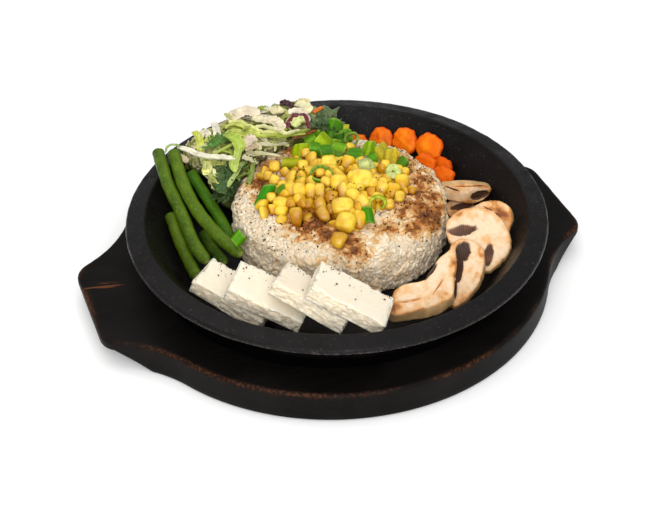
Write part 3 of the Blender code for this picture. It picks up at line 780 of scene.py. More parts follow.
def rice_skin(turn, share, out=0.0):
    """Point and normal of the mound in mm. share runs from 0 at the foot, up the side, round
    the soft edge and in to the middle of the top."""
    side = RICE_TOP - RICE_BASE - RICE_EDGE
    bend = RICE_EDGE * math.pi / 2
    flat = RICE_RADIUS - RICE_EDGE
    run = share * (side + bend + flat)
    lean = np.clip((run - side) / RICE_EDGE, 0, math.pi / 2)
    radius = flat + (RICE_EDGE + out) * np.cos(lean) - np.maximum(run - side - bend, 0)
    height = RICE_BASE + np.minimum(run, side) + (RICE_EDGE + out) * np.sin(lean)
    return polar(radius, turn, height) + (*RICE_CENTRE, 0), polar(np.cos(lean), turn, np.sin(lean))


def rice_relief(points):
    """Clumps of sticky rice, in mm: rounded lumps about 10 mm across with creases between."""
    return 1.2 - 3.2 * np.abs(noise(points, 12, 21)) + 0.8 * noise(points, 5.0, 24)


def build_rice(settings):
    """The mound's core, rough with clumps, and the grains that cover it."""
    core, normal = rice_skin(ring(320), np.linspace(0, 0.985, 110)[:, None], -0.2)
    bumps = rice_relief(core) + noise(core * (1, 1, 1.3), 2.4, 3) * 0.5
    core = core + normal * np.clip(bumps, -2.4, 1.2)[..., None]
    # The core's tone sits at the darker end of the grains' range: slight painted shade between the
    # grains.
    tone = channels(0.0, 0.30, sauce_amount(core))
    base = core[:1].copy()
    base[..., :2] = RICE_CENTRE + (base[..., :2] - RICE_CENTRE) * 0.1
    core = np.concatenate([base, core])
    core[..., 2] = np.maximum(core[..., 2], RICE_BASE)
    tone = np.concatenate([tone[:1], tone])
    cooked = cooked_rice(settings)
    shells("rice_core", [(on_dish(core), tone)], cooked, ["rice"])
    build_grains(settings, cooked)


def build_grains(settings, cooked):
    """Grains lie half sunk in the mound. Each is a plump ellipsoid with a slightly bent spine.
    They are spread evenly, so more lie where the mound is wide, and none under the corn."""
    random = np.random.default_rng(11)
    lean = np.radians((24, 66, 114, 156))[:, None]
    template = polar(np.sin(lean) ** 0.7, ring(8), -np.cos(lean))[..., [0, 2, 1]]
    template[..., 2] -= 0.18 * template[..., 1] ** 2
    total = settings.grains
    steps = np.linspace(0, 0.92, 400)
    radius = np.hypot(*(rice_skin(np.zeros(400), steps)[0][:, :2] - RICE_CENTRE).T)
    cover = np.cumsum(np.maximum(radius, 1))
    order = np.arange(total) + 0.5
    share = np.interp(order / total, cover / cover[-1], steps)
    share = np.clip(share + random.normal(0, 0.004, total), 0.012, 1)
    heading = order * GOLDEN_ANGLE + random.normal(0, 0.015, total)
    place, normal = rice_skin(heading, share, -0.9)
    x, y = (place[:, :2] - CORN_CENTRE).T
    under_corn = np.hypot(x, y) < corn_radius(np.arctan2(y, x)) - 13
    lift = random.uniform(-0.25, 0.55, total) + rice_relief(place)
    place = place + normal * lift[:, None]
    keep = ~(under_corn & (place[:, 2] > RICE_TOP - 6))
    place, normal = place[keep], normal[keep]
    total = len(place)
    tilt = unit(normal + random.normal(0, 0.16, (total, 3)))
    spin = 3.0 * noise(place, 8.0, 27) + random.normal(0, 1.2, total)
    half = settings.grain_length / MM / 2
    scales = half * draws(random, total, (0.40, 0.50), (0.80, 1.10), (0.34, 0.44))
    grids = copies_of(template, aim(tilt, spin), place, scales)
    grids[..., 2] = np.maximum(grids[..., 2], RICE_BASE)
    uneven = random.normal(0, 0.09, total) * (sauce_amount(place) > 0.05)
    sauce = np.clip(sauce_amount(grids) + uneven[:, None, None], 0, 1)
    each = random.uniform(0, 1, total)[:, None, None]
    shells("rice_grains", [(on_dish(grids), channels(0.0, each, sauce))], cooked)


def cooked_rice(settings):
    """Steamed short grain rice: soft, moist and a little see-through, warm white, and golden
    brown where sauce has soaked in."""
    made, tree, place = material("steamed_rice")
    _, each, sauce, _ = tone_channels(tree)
    grain = np.array(settings.grain)
    base = node(tree, "ValToRGB", {"Fac": each},
                [(0.0, grain * (0.84, 0.80, 0.72)), (0.40, grain),
                 (1.0, np.minimum(1, grain * 1.05))])
    warm = mottle(tree, place, 8, [(0.45, 0.0), (0.7, 0.5)])
    brown = node(tree, "ValToRGB", {"Fac": sauce},
                 [(0.0, "ecc280"), (0.3, "d69a44"), (0.6, settings.sauce), (0.95, "703800")])
    amount = node(tree, "ValToRGB", {"Fac": sauce}, [(0.0, 0.0), (0.3, 0.7), (0.7, 0.96)])
    return finish(made, base, 0.40, 0.18, [(warm, "dcb884"), (amount, brown)],
                  under=(0.5, (1.0, 0.92, 0.84), 1.4))


# ---- sweetcorn

KERNELS_SEEN = (
    # place, wide, tall, C for crown or L for lying, clock of its crown, how pale its yellow is
    # from 0 to 7
    ((-22, 54, 52.2), 5.6, 6.2, "C", 0, 2), ((-29, 52, 52.2), 5, 3.7, "L", -80, 5),
    ((-27, 39, 52.2), 5.6, 5.6, "C", 20, 3), ((-18, 46, 52.2), 5, 4.3, "L", 60, 5),
    ((-12, 44, 52.2), 5.6, 4.3, "L", 80, 1), ((-18, 35, 54.4), 9.9, 5, "L", 95, 6),
    ((-25, 30, 53.7), 5, 5, "C", 0, 4), ((-30, 29, 52.2), 4.3, 5.6, "L", 10, 3),
    ((-22, 21, 55.8), 6.2, 7.4, "L", -10, 5), ((-18, 17, 56.7), 6.8, 7.4, "C", 10, 4),
    ((-12, 13, 57.6), 5.6, 8.1, "L", 5, 6), ((-7, 10, 57.8), 5, 8.7, "L", -4, 7),
    ((-9, 22, 57.6), 7.4, 5, "L", 85, 6), ((2, 53, 52.2), 9.9, 5.6, "L", 100, 6),
    ((-5, 48, 52.2), 5.6, 5.6, "C", 0, 5), ((0, 42, 54.4), 8.7, 4.3, "L", 92, 6),
    ((10, 40, 55.5), 8.1, 7.4, "C", 5, 7), ((21, 36, 55.3), 6.8, 8.7, "L", 10, 4),
    ((10, 23, 58), 7.4, 5, "L", 55, 6), ((7, 14, 58.1), 8.7, 8.7, "C", 0, 2),
    ((15, 14, 58), 5.6, 9.3, "L", 15, 6), ((22, 13, 57.6), 11.2, 9.3, "C", 10, 7),
    ((22, 24, 57.2), 7.4, 5, "L", 60, 5), ((6, 4, 57.9), 11.2, 5, "L", 65, 7),
    ((-2, 5, 56.3), 7.4, 5.6, "L", 110, 2), ((11, 0, 56.9), 7.4, 6.2, "C", 30, 3),
    ((17, -2, 55.7), 6.2, 5, "L", 100, 5), ((14, -7, 54.6), 8.7, 7.4, "L", 60, 7),
    ((1, -8, 56.3), 10.5, 8.1, "C", -15, 6), ((9, -13, 54.4), 9.3, 5, "L", 80, 2),
    ((3, -14, 54.6), 6.8, 5.6, "L", 100, 5), ((-1, -20, 52.2), 9.9, 9.9, "C", 0, 5),
    ((8, -19, 52.2), 6.8, 9.3, "L", 12, 5), ((-11, -33, 52.2), 8.7, 6.8, "L", 115, 5),
    ((27, 7, 56.6), 5.6, 5.6, "C", 0, 4), ((31, 3, 55), 6.2, 7.4, "L", 15, 7),
    ((23, 1, 56.2), 5.6, 4.3, "L", 90, 1), ((26, -4, 54.1), 5.6, 5, "C", 20, 6),
    ((38, 1, 52.3), 7.4, 8.7, "L", -10, 4), ((47, 7, 52.2), 7.4, 9.3, "L", -12, 5),
    ((40, -6, 52.2), 5, 5.6, "C", 0, 5), ((29, -10, 52.2), 5.6, 5, "L", 60, 5),
    ((54, 37, 52.2), 5, 6.2, "L", 5, 6), ((41, 27, 52.2), 5.6, 4.3, "L", 80, 3),
    ((32, 20, 55.8), 4.3, 4.3, "C", 0, 1), ((-32, 13, 53.2), 7.4, 6.2, "C", 15, 4),
    ((-27, 9, 54.6), 5.6, 5, "L", 70, 1), ((-44, 10, 52.2), 6.8, 4.3, "L", -75, 6),
    ((-38, 11, 52.2), 4.3, 5.6, "L", 10, 5), ((-27, -2, 52.2), 6.2, 9.9, "L", -8, 1),
    ((-21, 5, 55.6), 5, 4.3, "L", 60, 0), ((-10, 2, 54.2), 8.7, 5.6, "L", 85, 5),
    ((-11, -5, 52.2), 8.7, 5.6, "L", 75, 7), ((20, -7, 52.8), 5.6, 7.4, "L", 0, 2),
    ((31, -11, 52.2), 5, 5, "C", 0, 1), ((1, 30, 57.5), 5.6, 5, "C", 0, 1),
    ((0, 18, 58.1), 6.2, 5, "C", 20, 0), ((-11, 33, 56), 5.6, 4.3, "L", 70, 5),
    ((-29, 46, 52.2), 4.3, 5, "C", 0, 2), ((38, 13, 54.1), 5.6, 5, "L", 70, 5),
    ((32, 31, 54.2), 5.6, 5, "L", 50, 5), ((-7, 56, 52.2), 5, 4.3, "L", 60, 4),
    ((10, 63, 52.2), 5.6, 4.3, "L", 70, 4), ((2, 62, 52.2), 5.6, 5, "C", 0, 4),
    ((45, 30, 52.2), 5, 5, "C", 0, 3), ((5, 24, 58), 5, 5, "C", 0, 5),
    ((-35, 22, 52.2), 5, 5, "C", 10, 2), ((-27, 20, 54.3), 5, 5, "L", 40, 3),
    ((-18, 3, 55.6), 4.3, 3.7, "L", 60, 0), ((-5, -5, 54.1), 5, 5, "L", 20, 1),
    ((19, 25, 57.4), 5, 5, "L", 40, 2), ((50, 22, 52.2), 5, 5, "C", 10, 3),
    ((54, 18, 52.2), 4.3, 4.3, "C", 0, 2), ((50, -2, 52.2), 4.3, 4.3, "L", 20, 1),
)
LOOSE_KERNELS = (
    (-42.4, 16.9, 51.8), (-36.9, 11.7, 52.4), (46.8, 1.7, 52.6), (-31.7, 50.9, 52), (52, 21, 51.6),
    (30, 56, 51.6), (-24, 55, 51.6), (14, 60, 51.8),
)


def corn_radius(turn):
    """The heap's edge in mm: it wanders, reaches out to the left, and leaves bays in front."""
    def near(heading, width):
        """A bell curve over the angle from a heading, in degrees."""
        away = (np.degrees(turn) - heading + 180) % 360 - 180
        return np.exp(-(away / width) ** 2)

    reach = CORN_RADIUS + 1.2 * np.sin(5 * turn + 0.6)
    reach = reach + 5.0 * near(188, 20) - 5.0 * near(90, 45)
    return reach - 24.0 * near(230, 17) - 13.0 * near(298, 20)


def corn_skin(turn, share):
    """Point and normal on the corn's low dome, share 0 at the middle and 1 at its edge. Its
    height falls by the cube of share."""
    reach = (corn_radius(turn) - 2.0) * share
    height = CORN_BASE + (CORN_TOP - CORN_BASE - 3.0) * (1 - share ** 3.0)
    slope = 3.0 * (CORN_TOP - CORN_BASE) / CORN_RADIUS * share ** 2
    return polar(reach, turn, height) + (*CORN_CENTRE, 0), unit(polar(slope, turn, 1.0))


def kernel_template():
    """A kernel from root to crown: a blunt wedge that swells to a broad crown. Its section is
    a rounded square, flatter one way than the other, and the crown is rounded off."""
    along = np.array((-1.0, -1.0, -0.90, -0.5, -0.05, 0.38, 0.72, 0.92, 0.98))[:, None]
    width = np.array((0.22, 0.44, 0.62, 0.78, 0.93, 1.0, 0.94, 0.70, 0.32))[:, None]
    x, y = squarish(ring(12, 0.5), 0.66, 0.66)
    return channels(width * x * 0.50, width * y * 0.38, along * 0.5)


def build_corn(settings):
    """The heap's core, the kernels strewn over it, and those on view, which are placed one by
    one and face the front of the dish. Strewn kernels too near to those on view are left out,
    and the next nearest are sunk."""
    random = np.random.default_rng(5)
    core, normal = corn_skin(ring(140), np.linspace(0.97, 0.01, 44)[:, None])
    core = core + normal * (fractal(core, 5, 61) * 1.2 - 3.6)[..., None]
    core[..., 2] = np.maximum(core[..., 2], CORN_BASE - 0.8)
    core = np.concatenate([core[:1] * (1, 1, 0) + (0, 0, CORN_BASE - 1.2), core])
    made = sweetcorn(settings)
    # The core shows only in the gaps between kernels: it takes the dark root colour as painted
    # shade, and sauce brown.
    shells("corn_core", [(on_dish(core), (0.1, 0.2, 0.8))], made, ["corn"])
    seen = np.array([place for place, *_ in KERNELS_SEEN], float)
    order = np.arange(settings.kernels) + 0.5
    apart, touching, crowded, sunk = 3.85, 2.2, 5.5, 4.2
    away = apart * np.sqrt(order)
    heading = order * GOLDEN_ANGLE + random.normal(0, 0.04, len(order))
    limit = corn_radius(heading) - 2.5
    keep = away < limit
    place, normal = corn_skin(heading[keep], (away / limit)[keep])
    place[:, 2] += random.uniform(-1.6, 0.2, len(place)) - 1.4
    place = np.vstack([place, LOOSE_KERNELS])
    near = np.linalg.norm((place[:, None] - seen[None]) * (1, 1, 0.6), axis=2).min(1)
    place[near < crowded, 2] -= sunk
    place = place[near > touching]
    total = len(place)
    axis = unit(UP * random.uniform(0.4, 2.4, total)[:, None]
                + unit(random.normal(0, 1, (total, 3))) * (1, 1, 0.25))
    size = settings.kernel_length / MM
    scales = size * draws(random, total, (0.80, 1.05), (0.95, 1.2), (0.80, 1.05))
    turns = aim(axis, random.uniform(0, math.tau, total))
    each = random.uniform(0.3, 0.8, total)
    turned, sizes = [], []
    for _, wide, tall, kind, clock, _ in KERNELS_SEEN:
        tip, spin, lean = random.normal(0, 9, 3)
        thin = min(wide, tall)
        if kind == "C":
            turned.append(facing(FRONT + tip, 58 + lean, clock + spin))
            sizes.append((wide, 1.35 * tall, 1.1 * thin))
        else:
            turned.append(facing(FRONT + tip, 45 + lean, clock + spin)[:, [0, 2, 1]] * (1, -1, 1))
            sizes.append((wide, 1.15 * thin, tall))
    place = np.vstack([place, seen])
    turns = np.concatenate([turns, turned])
    scales = np.vstack([scales, np.array(sizes) * 1.3])
    each = np.r_[each, [(depth + 1.2) / 8.2 for *_, depth in KERNELS_SEEN]][:, None, None]
    template = kernel_template()
    along = np.linspace(0, 1, len(template))[:, None]
    grids = copies_of(template, turns, place, scales)
    grids = grids + 0.5 * np.stack([noise(grids, 3.4, seed) for seed in (81, 82, 83)], -1)
    grids[..., 2] = np.maximum(grids[..., 2], RICE_TOP - 1.0)
    low = smooth_step(CORN_BASE + 4.0 - grids[..., 2], 0, 6)
    sauce = np.clip(sauce_amount(grids, 70) * 0.5 + low * 0.5, 0, 1)
    shells("corn_kernels", [(on_dish(grids), channels(along, each, sauce))], made)


def sweetcorn(settings):
    """Boiled sweetcorn: tight shiny skin, deep to pale yellow from kernel to kernel, with a
    painted highlight on each crown and painted shade on the root ends down in the gaps,
    and browned in the gaps where sauce has run."""
    made, tree, place = material("boiled_sweetcorn")
    along, each, sauce, _ = tone_channels(tree)
    base = node(tree, "ValToRGB", {"Fac": each},
                [(0.0, "b47804"), (0.14, "c08604"), (0.29, "ce9808"), (0.43, settings.crown),
                 (0.57, "deb014"), (0.71, "e4ba22"), (0.86, "eac636"), (1.0, "f0d050")])
    # Painted highlight: the kernels' crowns are lightened towards the top.
    crest = node(tree, "ValToRGB", {"Fac": along}, [(0.6, 0.0), (0.95, 0.75)])
    # Painted shade: the root ends, down in the gaps between kernels, are darkened.
    root = node(tree, "ValToRGB", {"Fac": along}, [(0.15, 1.0), (0.65, 0.0)])
    deep = mottle(tree, place, 5, [(0.45, 0.0), (0.70, 0.60)], 2.0)
    stained = node(tree, "ValToRGB", {"Fac": sauce}, [(0.05, 0.0), (0.9, 0.85)])
    over = [(crest, "f6d648"), (root, settings.root), (deep, "ca8a06"),
            (stained, "96580c")]
    fine = node(tree, "TexNoise", sized(place, 1.8, 2.0))
    return finish(made, base, 0.26, 0.22, over, (fine, 0.16, 0.6),
                  (0.2, (0.9, 0.7, 0.15), 2.5), (0.30, 0.12))


# ---- salad

SALAD_PIECES = (
    # colour, width, thickness, curl of the edges, ruffle, places along the middle line
    ("c8cf58", 5, 1, 0.25, 0.3, ((-64, 98, 60), (-62, 92, 59), (-63, 84, 57), (-64, 79, 54))),
    ("dfe08c", 9, 0.8, 0.1, 1.6, ((-62, 73, 53), (-62, 67, 50), (-60, 61, 46), (-61, 54, 42))),
    ("ece6cc", 4.5, 2.2, 0.05, 0.1, ((-76, 90, 57), (-72, 84, 57.5), (-67, 75, 58), (-61, 69, 58),
     (-52, 65, 58), (-45, 63, 57))),
    ("e9e2cc", 5, 1.2, 0.1, 0.2, ((-47, 105, 60), (-48, 94, 61), (-50, 88, 59))),
    ("e6dfc6", 4, 1.4, 0.1, 0.2, ((-60, 90, 58), (-58, 94, 60), (-55, 93, 60.5), (-55, 89, 59),
     (-57, 86, 58))),
    ("4b7a2a", 12, 0.6, 0.12, 0.9, ((-60, 84, 58), (-57, 82, 59), (-50, 83, 60), (-43, 85, 60))),
    ("a9c04c", 9, 0.8, 0.15, 0.5, ((-44, 85, 61), (-42, 80, 61), (-40, 74, 60), (-40, 68, 58))),
    ("b5c660", 5, 0.9, 0.15, 0.4, ((-39, 74, 60), (-42, 67, 58), (-47, 59, 55), (-49, 55, 53))),
    ("3c5a2c", 13, 0.6, 0.1, 2, ((-40, 63, 52), (-48, 60, 50), (-55, 55, 47), (-61, 49, 43))),
    ("2e4a22", 11, 0.6, 0.1, 2, ((-48, 56, 48), (-53, 52, 45), (-57, 48, 41))),
    ("4f6a35", 8, 0.6, 0.1, 1.5, ((-54, 68, 52), (-57, 63, 50), (-56, 56, 48))),
    ("a3b36a", 3.5, 1.2, 0.1, 0.1, ((-38, 63, 53), (-44, 60, 52), (-50, 53, 50), (-55, 48, 47))),
    ("2c421c", 8, 0.6, 0.1, 1.2, ((-64, 55, 40), (-61, 49, 40), (-58, 43, 40))),
    ("cfd46a", 3, 0.9, 0.3, 0.3, ((-42, 96, 60.5), (-36, 95, 61), (-31, 88, 61.5), (-27, 81, 61),
     (-24, 78, 61))),
    ("dfe08c", 3, 0.9, 0.3, 0.3, ((-39, 99, 61), (-33, 97, 61.5), (-28, 89, 62), (-23, 81, 61.5),
     (-17, 77, 61))),
    ("b7c257", 3, 0.9, 0.3, 0.3, ((-35, 85, 61), (-29, 79, 61), (-22, 76, 60.5), (-12, 75, 60),
     (-5, 78, 60))),
    ("e2dfa4", 3.2, 0.9, 0.3, 0.3, ((-27, 85, 61.5), (-20, 84, 62), (-15, 79, 61.5),
     (-8, 74, 60.5), (3, 75, 59.5))),
    ("9fae47", 2.6, 0.9, 0.3, 0.3, ((-19, 76, 60), (-12, 72, 59.5), (-2, 73, 59), (10, 76, 58.5))),
    ("c6cc5e", 2.6, 0.9, 0.3, 0.3, ((-40, 91, 60.5), (-36, 84, 60), (-32, 77, 59.5))),
    ("ecdcc0", 12, 1.5, -0.06, 0.4, ((-38, 102, 61), (-30, 105, 62), (-22, 104, 62.5),
     (-16, 100, 62))),
    ("e9dfc8", 5, 1.2, 0.1, 0.3, ((-29, 114, 60), (-28, 109, 61), (-26, 105, 62))),
    ("e4dab4", 8, 1.3, 0.1, 0.5, ((-23, 96, 62), (-17, 90, 62.5), (-10, 87, 62))),
    ("dccbb2", 9, 1.5, 0.05, 0.8, ((-37, 71, 60), (-32, 74, 61), (-27, 75, 61))),
    ("cdb898", 6, 1.2, 0.05, 0.6, ((-37, 68, 59), (-33, 67, 60), (-28, 69, 59))),
    ("e8dcae", 8, 1.2, 0.1, 0.5, ((-9, 104, 61.5), (-6, 98, 62), (0, 100, 62))),
    ("e9dcb8", 9, 2, -0.05, 0.5, ((-12, 93, 62.5), (-9, 84, 63), (-10, 76, 62))),
    ("3a1420", 6, 0.7, 0.1, 0.3, ((0, 107, 61), (4, 106, 62), (8, 101, 61.5))),
    ("e8e0b4", 9, 1, 0.1, 0.35, ((10, 104, 61.5), (13, 98, 62), (14, 90, 61.5))),
    ("dfd08c", 4, 1, 0.1, 0.3, ((13, 108, 61), (16, 106, 61.5), (20, 104, 61))),
    ("6e1f35", 3, 1.4, 0.1, 0.1, ((-6, 78, 60.5), (-2, 83, 61.5), (3, 87, 62.5), (8, 88, 62.5),
     (10, 84, 62), (9, 75, 60.5))),
    ("cfd58c", 8, 0.9, 0.15, 0.5, ((1, 78, 61), (4, 81, 62), (8, 81, 62))),
    ("e6d8c0", 5, 1.2, 0.1, 0.4, ((1, 94, 62), (8, 93, 62.5), (12, 82, 61.5))),
    ("e87a18", 3, 1.4, 0, 0.1, ((18, 91, 60.5), (22, 92, 61), (26, 95, 60.5))),
    ("5c7048", 14, 0.6, 0.1, 2.2, ((16, 80, 56), (22, 85, 58), (29, 89, 58.5), (33, 87, 57))),
    ("3f5a34", 12, 0.6, 0.1, 2, ((16, 84, 57), (22, 81, 58.5), (29, 77, 56), (31, 75, 53))),
    ("4a6438", 9, 0.6, 0.1, 1.8, ((17, 77, 56), (24, 76, 56), (30, 77, 54))),
    ("d4d88a", 2.4, 0.9, 0.3, 0.3, ((-24, 76, 51.5), (-18, 79, 53), (-12, 78, 54), (-6, 77, 53))),
    ("e4e2a8", 2.2, 0.9, 0.3, 0.3, ((-23, 73, 51), (-18, 76, 52), (-11, 75, 53), (-6, 72, 52.5))),
    ("cdd38a", 2.4, 0.9, 0.3, 0.3, ((-24, 79, 53), (-26, 74, 52), (-25, 67, 50.5))),
    ("e0dcb4", 5, 0.9, 0.1, 0.6, ((-40, 64, 56), (-36, 61, 54), (-31, 61, 51))),
    ("dcd7a6", 6, 0.9, 0.1, 0.6, ((-37, 67, 58), (-32, 65, 56), (-26, 69, 53))),
    ("9db56a", 1.5, 1, 0, 0.1, ((-85, 88, 57), (-83, 90, 59), (-79, 90, 60), (-76, 89, 59),
     (-75, 86, 57))),
    ("8a4a24", 1.8, 1, 0.1, 0.2, ((-3, 74, 56), (5, 74, 57), (14, 74, 57.5))),
    ("8a9a3e", 4, 0.9, 0.1, 0.4, ((-17, 108, 61), (-13, 107, 61.5), (-9, 105, 61))),
    ("d9c7a2", 5, 1, 0.1, 0.5, ((-78, 83, 55), (-76, 79, 54), (-74, 76, 53))),
    ("d0d68c", 3, 0.9, 0.2, 0.3, ((-64, 80, 54), (-64, 73, 53), (-63, 69, 51))),
    ("c3c96e", 4, 0.8, 0.2, 0.6, ((-60, 73, 54), (-57, 68, 53), (-53, 64, 53))),
)
SALAD_BUNDLES = (
    # first and last colour, how many strands, width, spread, places along the middle line
    ("c8d45c", "eeeab0", 8, 2.2, 2.2, ((-64, 77, 56.5), (-62, 69, 53.5), (-60.5, 61, 48.5),
     (-60.6, 54, 44))),
    ("a2b830", "e2e08c", 10, 2.6, 2.8, ((-46, 92, 60.5), (-36, 88, 61.2), (-24, 80, 61.2),
     (-8, 76, 60.4), (8, 76, 59.3))),
    ("d6cf9c", "ece6cc", 3, 3, 3, ((-72, 88, 57), (-60, 82, 58.4), (-50, 76, 59), (-42, 70, 58))),
    ("ccd464", "f0ecb8", 8, 1.8, 2.2, ((-30, 62, 53), (-26, 71, 55.5), (-14, 78, 57),
     (-2, 76, 57))),
    ("6f8a30", "bcc460", 5, 2.6, 4, ((-34, 99, 59.6), (-20, 95, 60.8), (-8, 94, 61), (4, 90, 61))),
    ("4d6c24", "93a548", 6, 2.4, 4, ((-36, 62, 53.5), (-46, 58, 51.5), (-56, 52, 48.5))),
    ("c8c688", "efe6cc", 4, 3.2, 4, ((-44, 66, 57.5), (-36, 70, 59), (-26, 70, 59),
     (-16, 70, 57.5))),
    ("b4c044", "e4e090", 4, 2.6, 3, ((-58, 88, 59), (-50, 92, 60), (-42, 98, 60.5))),
    ("e0d8b4", "f0e8d4", 3, 3.6, 3, ((-30, 106, 60.5), (-16, 104, 61.5), (0, 102, 61.5),
     (12, 96, 61))),
    ("9cb03c", "dcd890", 6, 2.6, 5, ((-52, 94, 59.5), (-44, 84, 60.2), (-48, 72, 59),
     (-56, 66, 55.5))),
    ("a4b048", "dcd8a0", 6, 2.6, 5, ((-34, 104, 60.2), (-30, 94, 61), (-18, 88, 61),
     (-14, 76, 60))),
    ("8fa03c", "d8d090", 5, 2.6, 4, ((6, 104, 60.8), (2, 94, 61.2), (-4, 86, 61), (4, 78, 59.5))),
)
SHRED_COLOURS = ("d6cd96", "e2d6a8", "b4b85a", "98a23c", "c9c680", "74822e", "ded0a8", "a9b04c")


def rice_reach(turn):
    """Distance in mm from the pan's centre to the mound's side along a heading."""
    along = RICE_CENTRE[0] * np.cos(turn) + RICE_CENTRE[1] * np.sin(turn)
    across = RICE_CENTRE[1] * np.cos(turn) - RICE_CENTRE[0] * np.sin(turn)
    return along + np.sqrt((RICE_RADIUS + 1.5) ** 2 - across ** 2)


def salad_top(turn, share):
    """Point on the heap's top in mm: share 0 at the rice's side, 1 at the pan's rim."""
    past = smooth_step(turn, math.radians(124), math.radians(131))
    before = 1 - smooth_step(turn, math.radians(68), math.radians(84))
    inner = rice_reach(turn)
    outer = 121.5 - 13 * np.maximum(past, before)
    top = 60 - 9 * past - 13 * before
    height = top + np.interp(share, (0, 0.08, 0.3, 0.75, 0.95, 1.0), (-11, -8, -1, 0, -4, -8))
    return polar(inner + (outer - inner) * share, turn, height)


def salad_core_grid():
    """Sections of the heap at even headings, each from the floor up the wall and over the top,
    shrunk at both ends of the heap."""
    share = np.linspace(1.0, 0.0, 26)
    foot = FLOOR_RADIUS / MM - 10
    grid = []
    for turn in np.radians(np.linspace(69.5, 130, 64)):
        over = salad_top(turn, share) - (0, 0, 2.5)
        inner, outer = rice_reach(turn) + 0.8, np.hypot(*over[0, :2]) - 2.5
        wall = np.minimum((inner, 0.5 * (inner + foot), foot, foot + 8.5, foot + 16.5), outer)
        grid.append(np.vstack([polar(wall, turn, (19, 19, 19, 31, 42)), over]))
    grid = np.array(grid)
    for row, share in ((0, 0.8), (1, 0.93), (-2, 0.93), (-1, 0.8)):
        middle = grid[row].mean(0)
        grid[row] = middle + (grid[row] - middle) * share
    return grid


def build_salad(settings):
    """A core painted in dark greens as the shade between the pieces, fine shreds strewn on it,
    bundles of strands, and chosen pieces.
    """
    core = salad_core_grid()
    normals = outward(core)
    bumps = fractal(core, 9, 81) * 1.8 - 0.8
    core = core + normals * (bumps * smooth_step(core[..., 2], 44, 52))[..., None]
    # The core's colours are painted shade between the pieces, from dark to light olive at random.
    shade, light = linear("4a5520"), linear("a3a45e")
    blend = smooth_step(fractal(core, 5, 85), -0.4, 0.8)[..., None]
    tone = shade + (light - shade) * blend
    leaf = salad_leaf()
    shells("salad_core", [(on_dish(core), tone)], leaf, ["salad"])
    random = np.random.default_rng(23)
    shells("cabbage_shreds", cabbage_shreds(settings, random, core, normals), leaf)
    strands = [bundle(random, *row) for row in SALAD_BUNDLES]
    shells("cabbage_strands", strands, leaf)
    parts = [salad_piece(number, *piece) for number, piece in enumerate(SALAD_PIECES)]
    shells("salad_leaves", parts, leaf)


def bundle(random, first, last, total, width, spread, route):
    """Strands that run together: each follows a stretch of the route, set off to one side and
    wandering by a slow sine."""
    steps, rows = np.linspace(0, 1, 60), 26
    line = smooth_route(route, len(steps))
    start = random.uniform(0, 0.45, (total, 1))
    s = start + random.uniform(0.3, 0.55, (total, 1)) * np.linspace(0, 1, rows)
    path = np.stack([np.interp(s, steps, line[:, axis]) for axis in range(3)], -1)
    offset = random.normal(0, spread, (total, 1, 3)) * (1, 1, 0.25)
    slant = random.normal(0, spread, (total, 1, 3)) * (1, 1, 0.3)
    slant = slant * np.linspace(-1, 1, rows)[:, None]
    sway = np.sin(9 * s[..., None] + random.uniform(0, 6, (total, 1, 3))) * (1.6, 1.6, 1.0)
    path = keep_in_pan(path + offset + slant + sway)
    profile = np.sin(np.linspace(0.1, math.pi - 0.1, rows)) ** 0.5
    widths = width * random.uniform(0.6, 1.5, (total, 1)) * profile
    grids = ribbons(path, widths, 1.0, UP, random.normal(0.25, 0.2, total),
                    random.uniform(0, 0.8, total), 2.5, 12, random.uniform(0, 6, total))
    share = random.uniform(0, 1, total)[:, None, None, None]
    tone = linear(first) * (1 - share) + linear(last) * share
    return on_dish(grids), tone * (0.88 + 0.2 * noise(grids, 5, 66))[..., None]


def salad_piece(number, code, width, thickness, curl, ruffle, route):
    """One chosen shred or leaf along its route, tapered at its ends. Strong ruffles make a
    leaf: its edge is ragged, with painted shade in its folds. Fine ribs run along a strip."""
    leafy = ruffle > 0.85
    rows, cols = (60, 22) if leafy else (40, 20)
    path = smooth_route(route, rows)
    wander = np.stack([noise(path, 8, 90 + number), noise(path, 8, 130 + number),
                       noise(path, 6, 170 + number)], -1)
    path = path + wander * 0.8 + (0, 0, 1.8)
    s = np.linspace(0, 1, rows)
    ends = np.minimum(1, np.minimum(s, 1 - s) / (0.22 if leafy else 0.14)) ** 0.5
    ragged = 1 + (0.16 if leafy else 0.04) * np.sin(s * (19 + number % 5) + number)
    size = width if leafy or width < 6.5 else width * 0.9
    wide = size * (0.3 + 0.7 * ends) * ragged
    if not leafy:
        thickness, curl = thickness + 0.3, curl + 0.18
    grid = ribbons(path[None], wide[None], thickness, UP, curl, ruffle,
                   1 + len(route) + number % 3, cols, number)[0]
    crumple = fractal(grid, 4.0, 200 + number, 2) * (0.6 if leafy else 0.5)
    grid[..., 2] += crumple
    shade = 0.96 + 0.18 * noise(grid, 4, 260 + number) + 0.10 * noise(grid, 1.6, 300 + number)
    ribs = 0.10 * np.cos(np.cos(ring(cols)) * width * 1.6 + number)
    # A leaf gets painted shade in its folds and painted light on its raised crumples; a strip gets
    # ribs.
    shade = shade + (0.6 * crumple if leafy else ribs)
    return on_dish(grid), np.clip(linear(code) * shade[..., None], 0, 1)


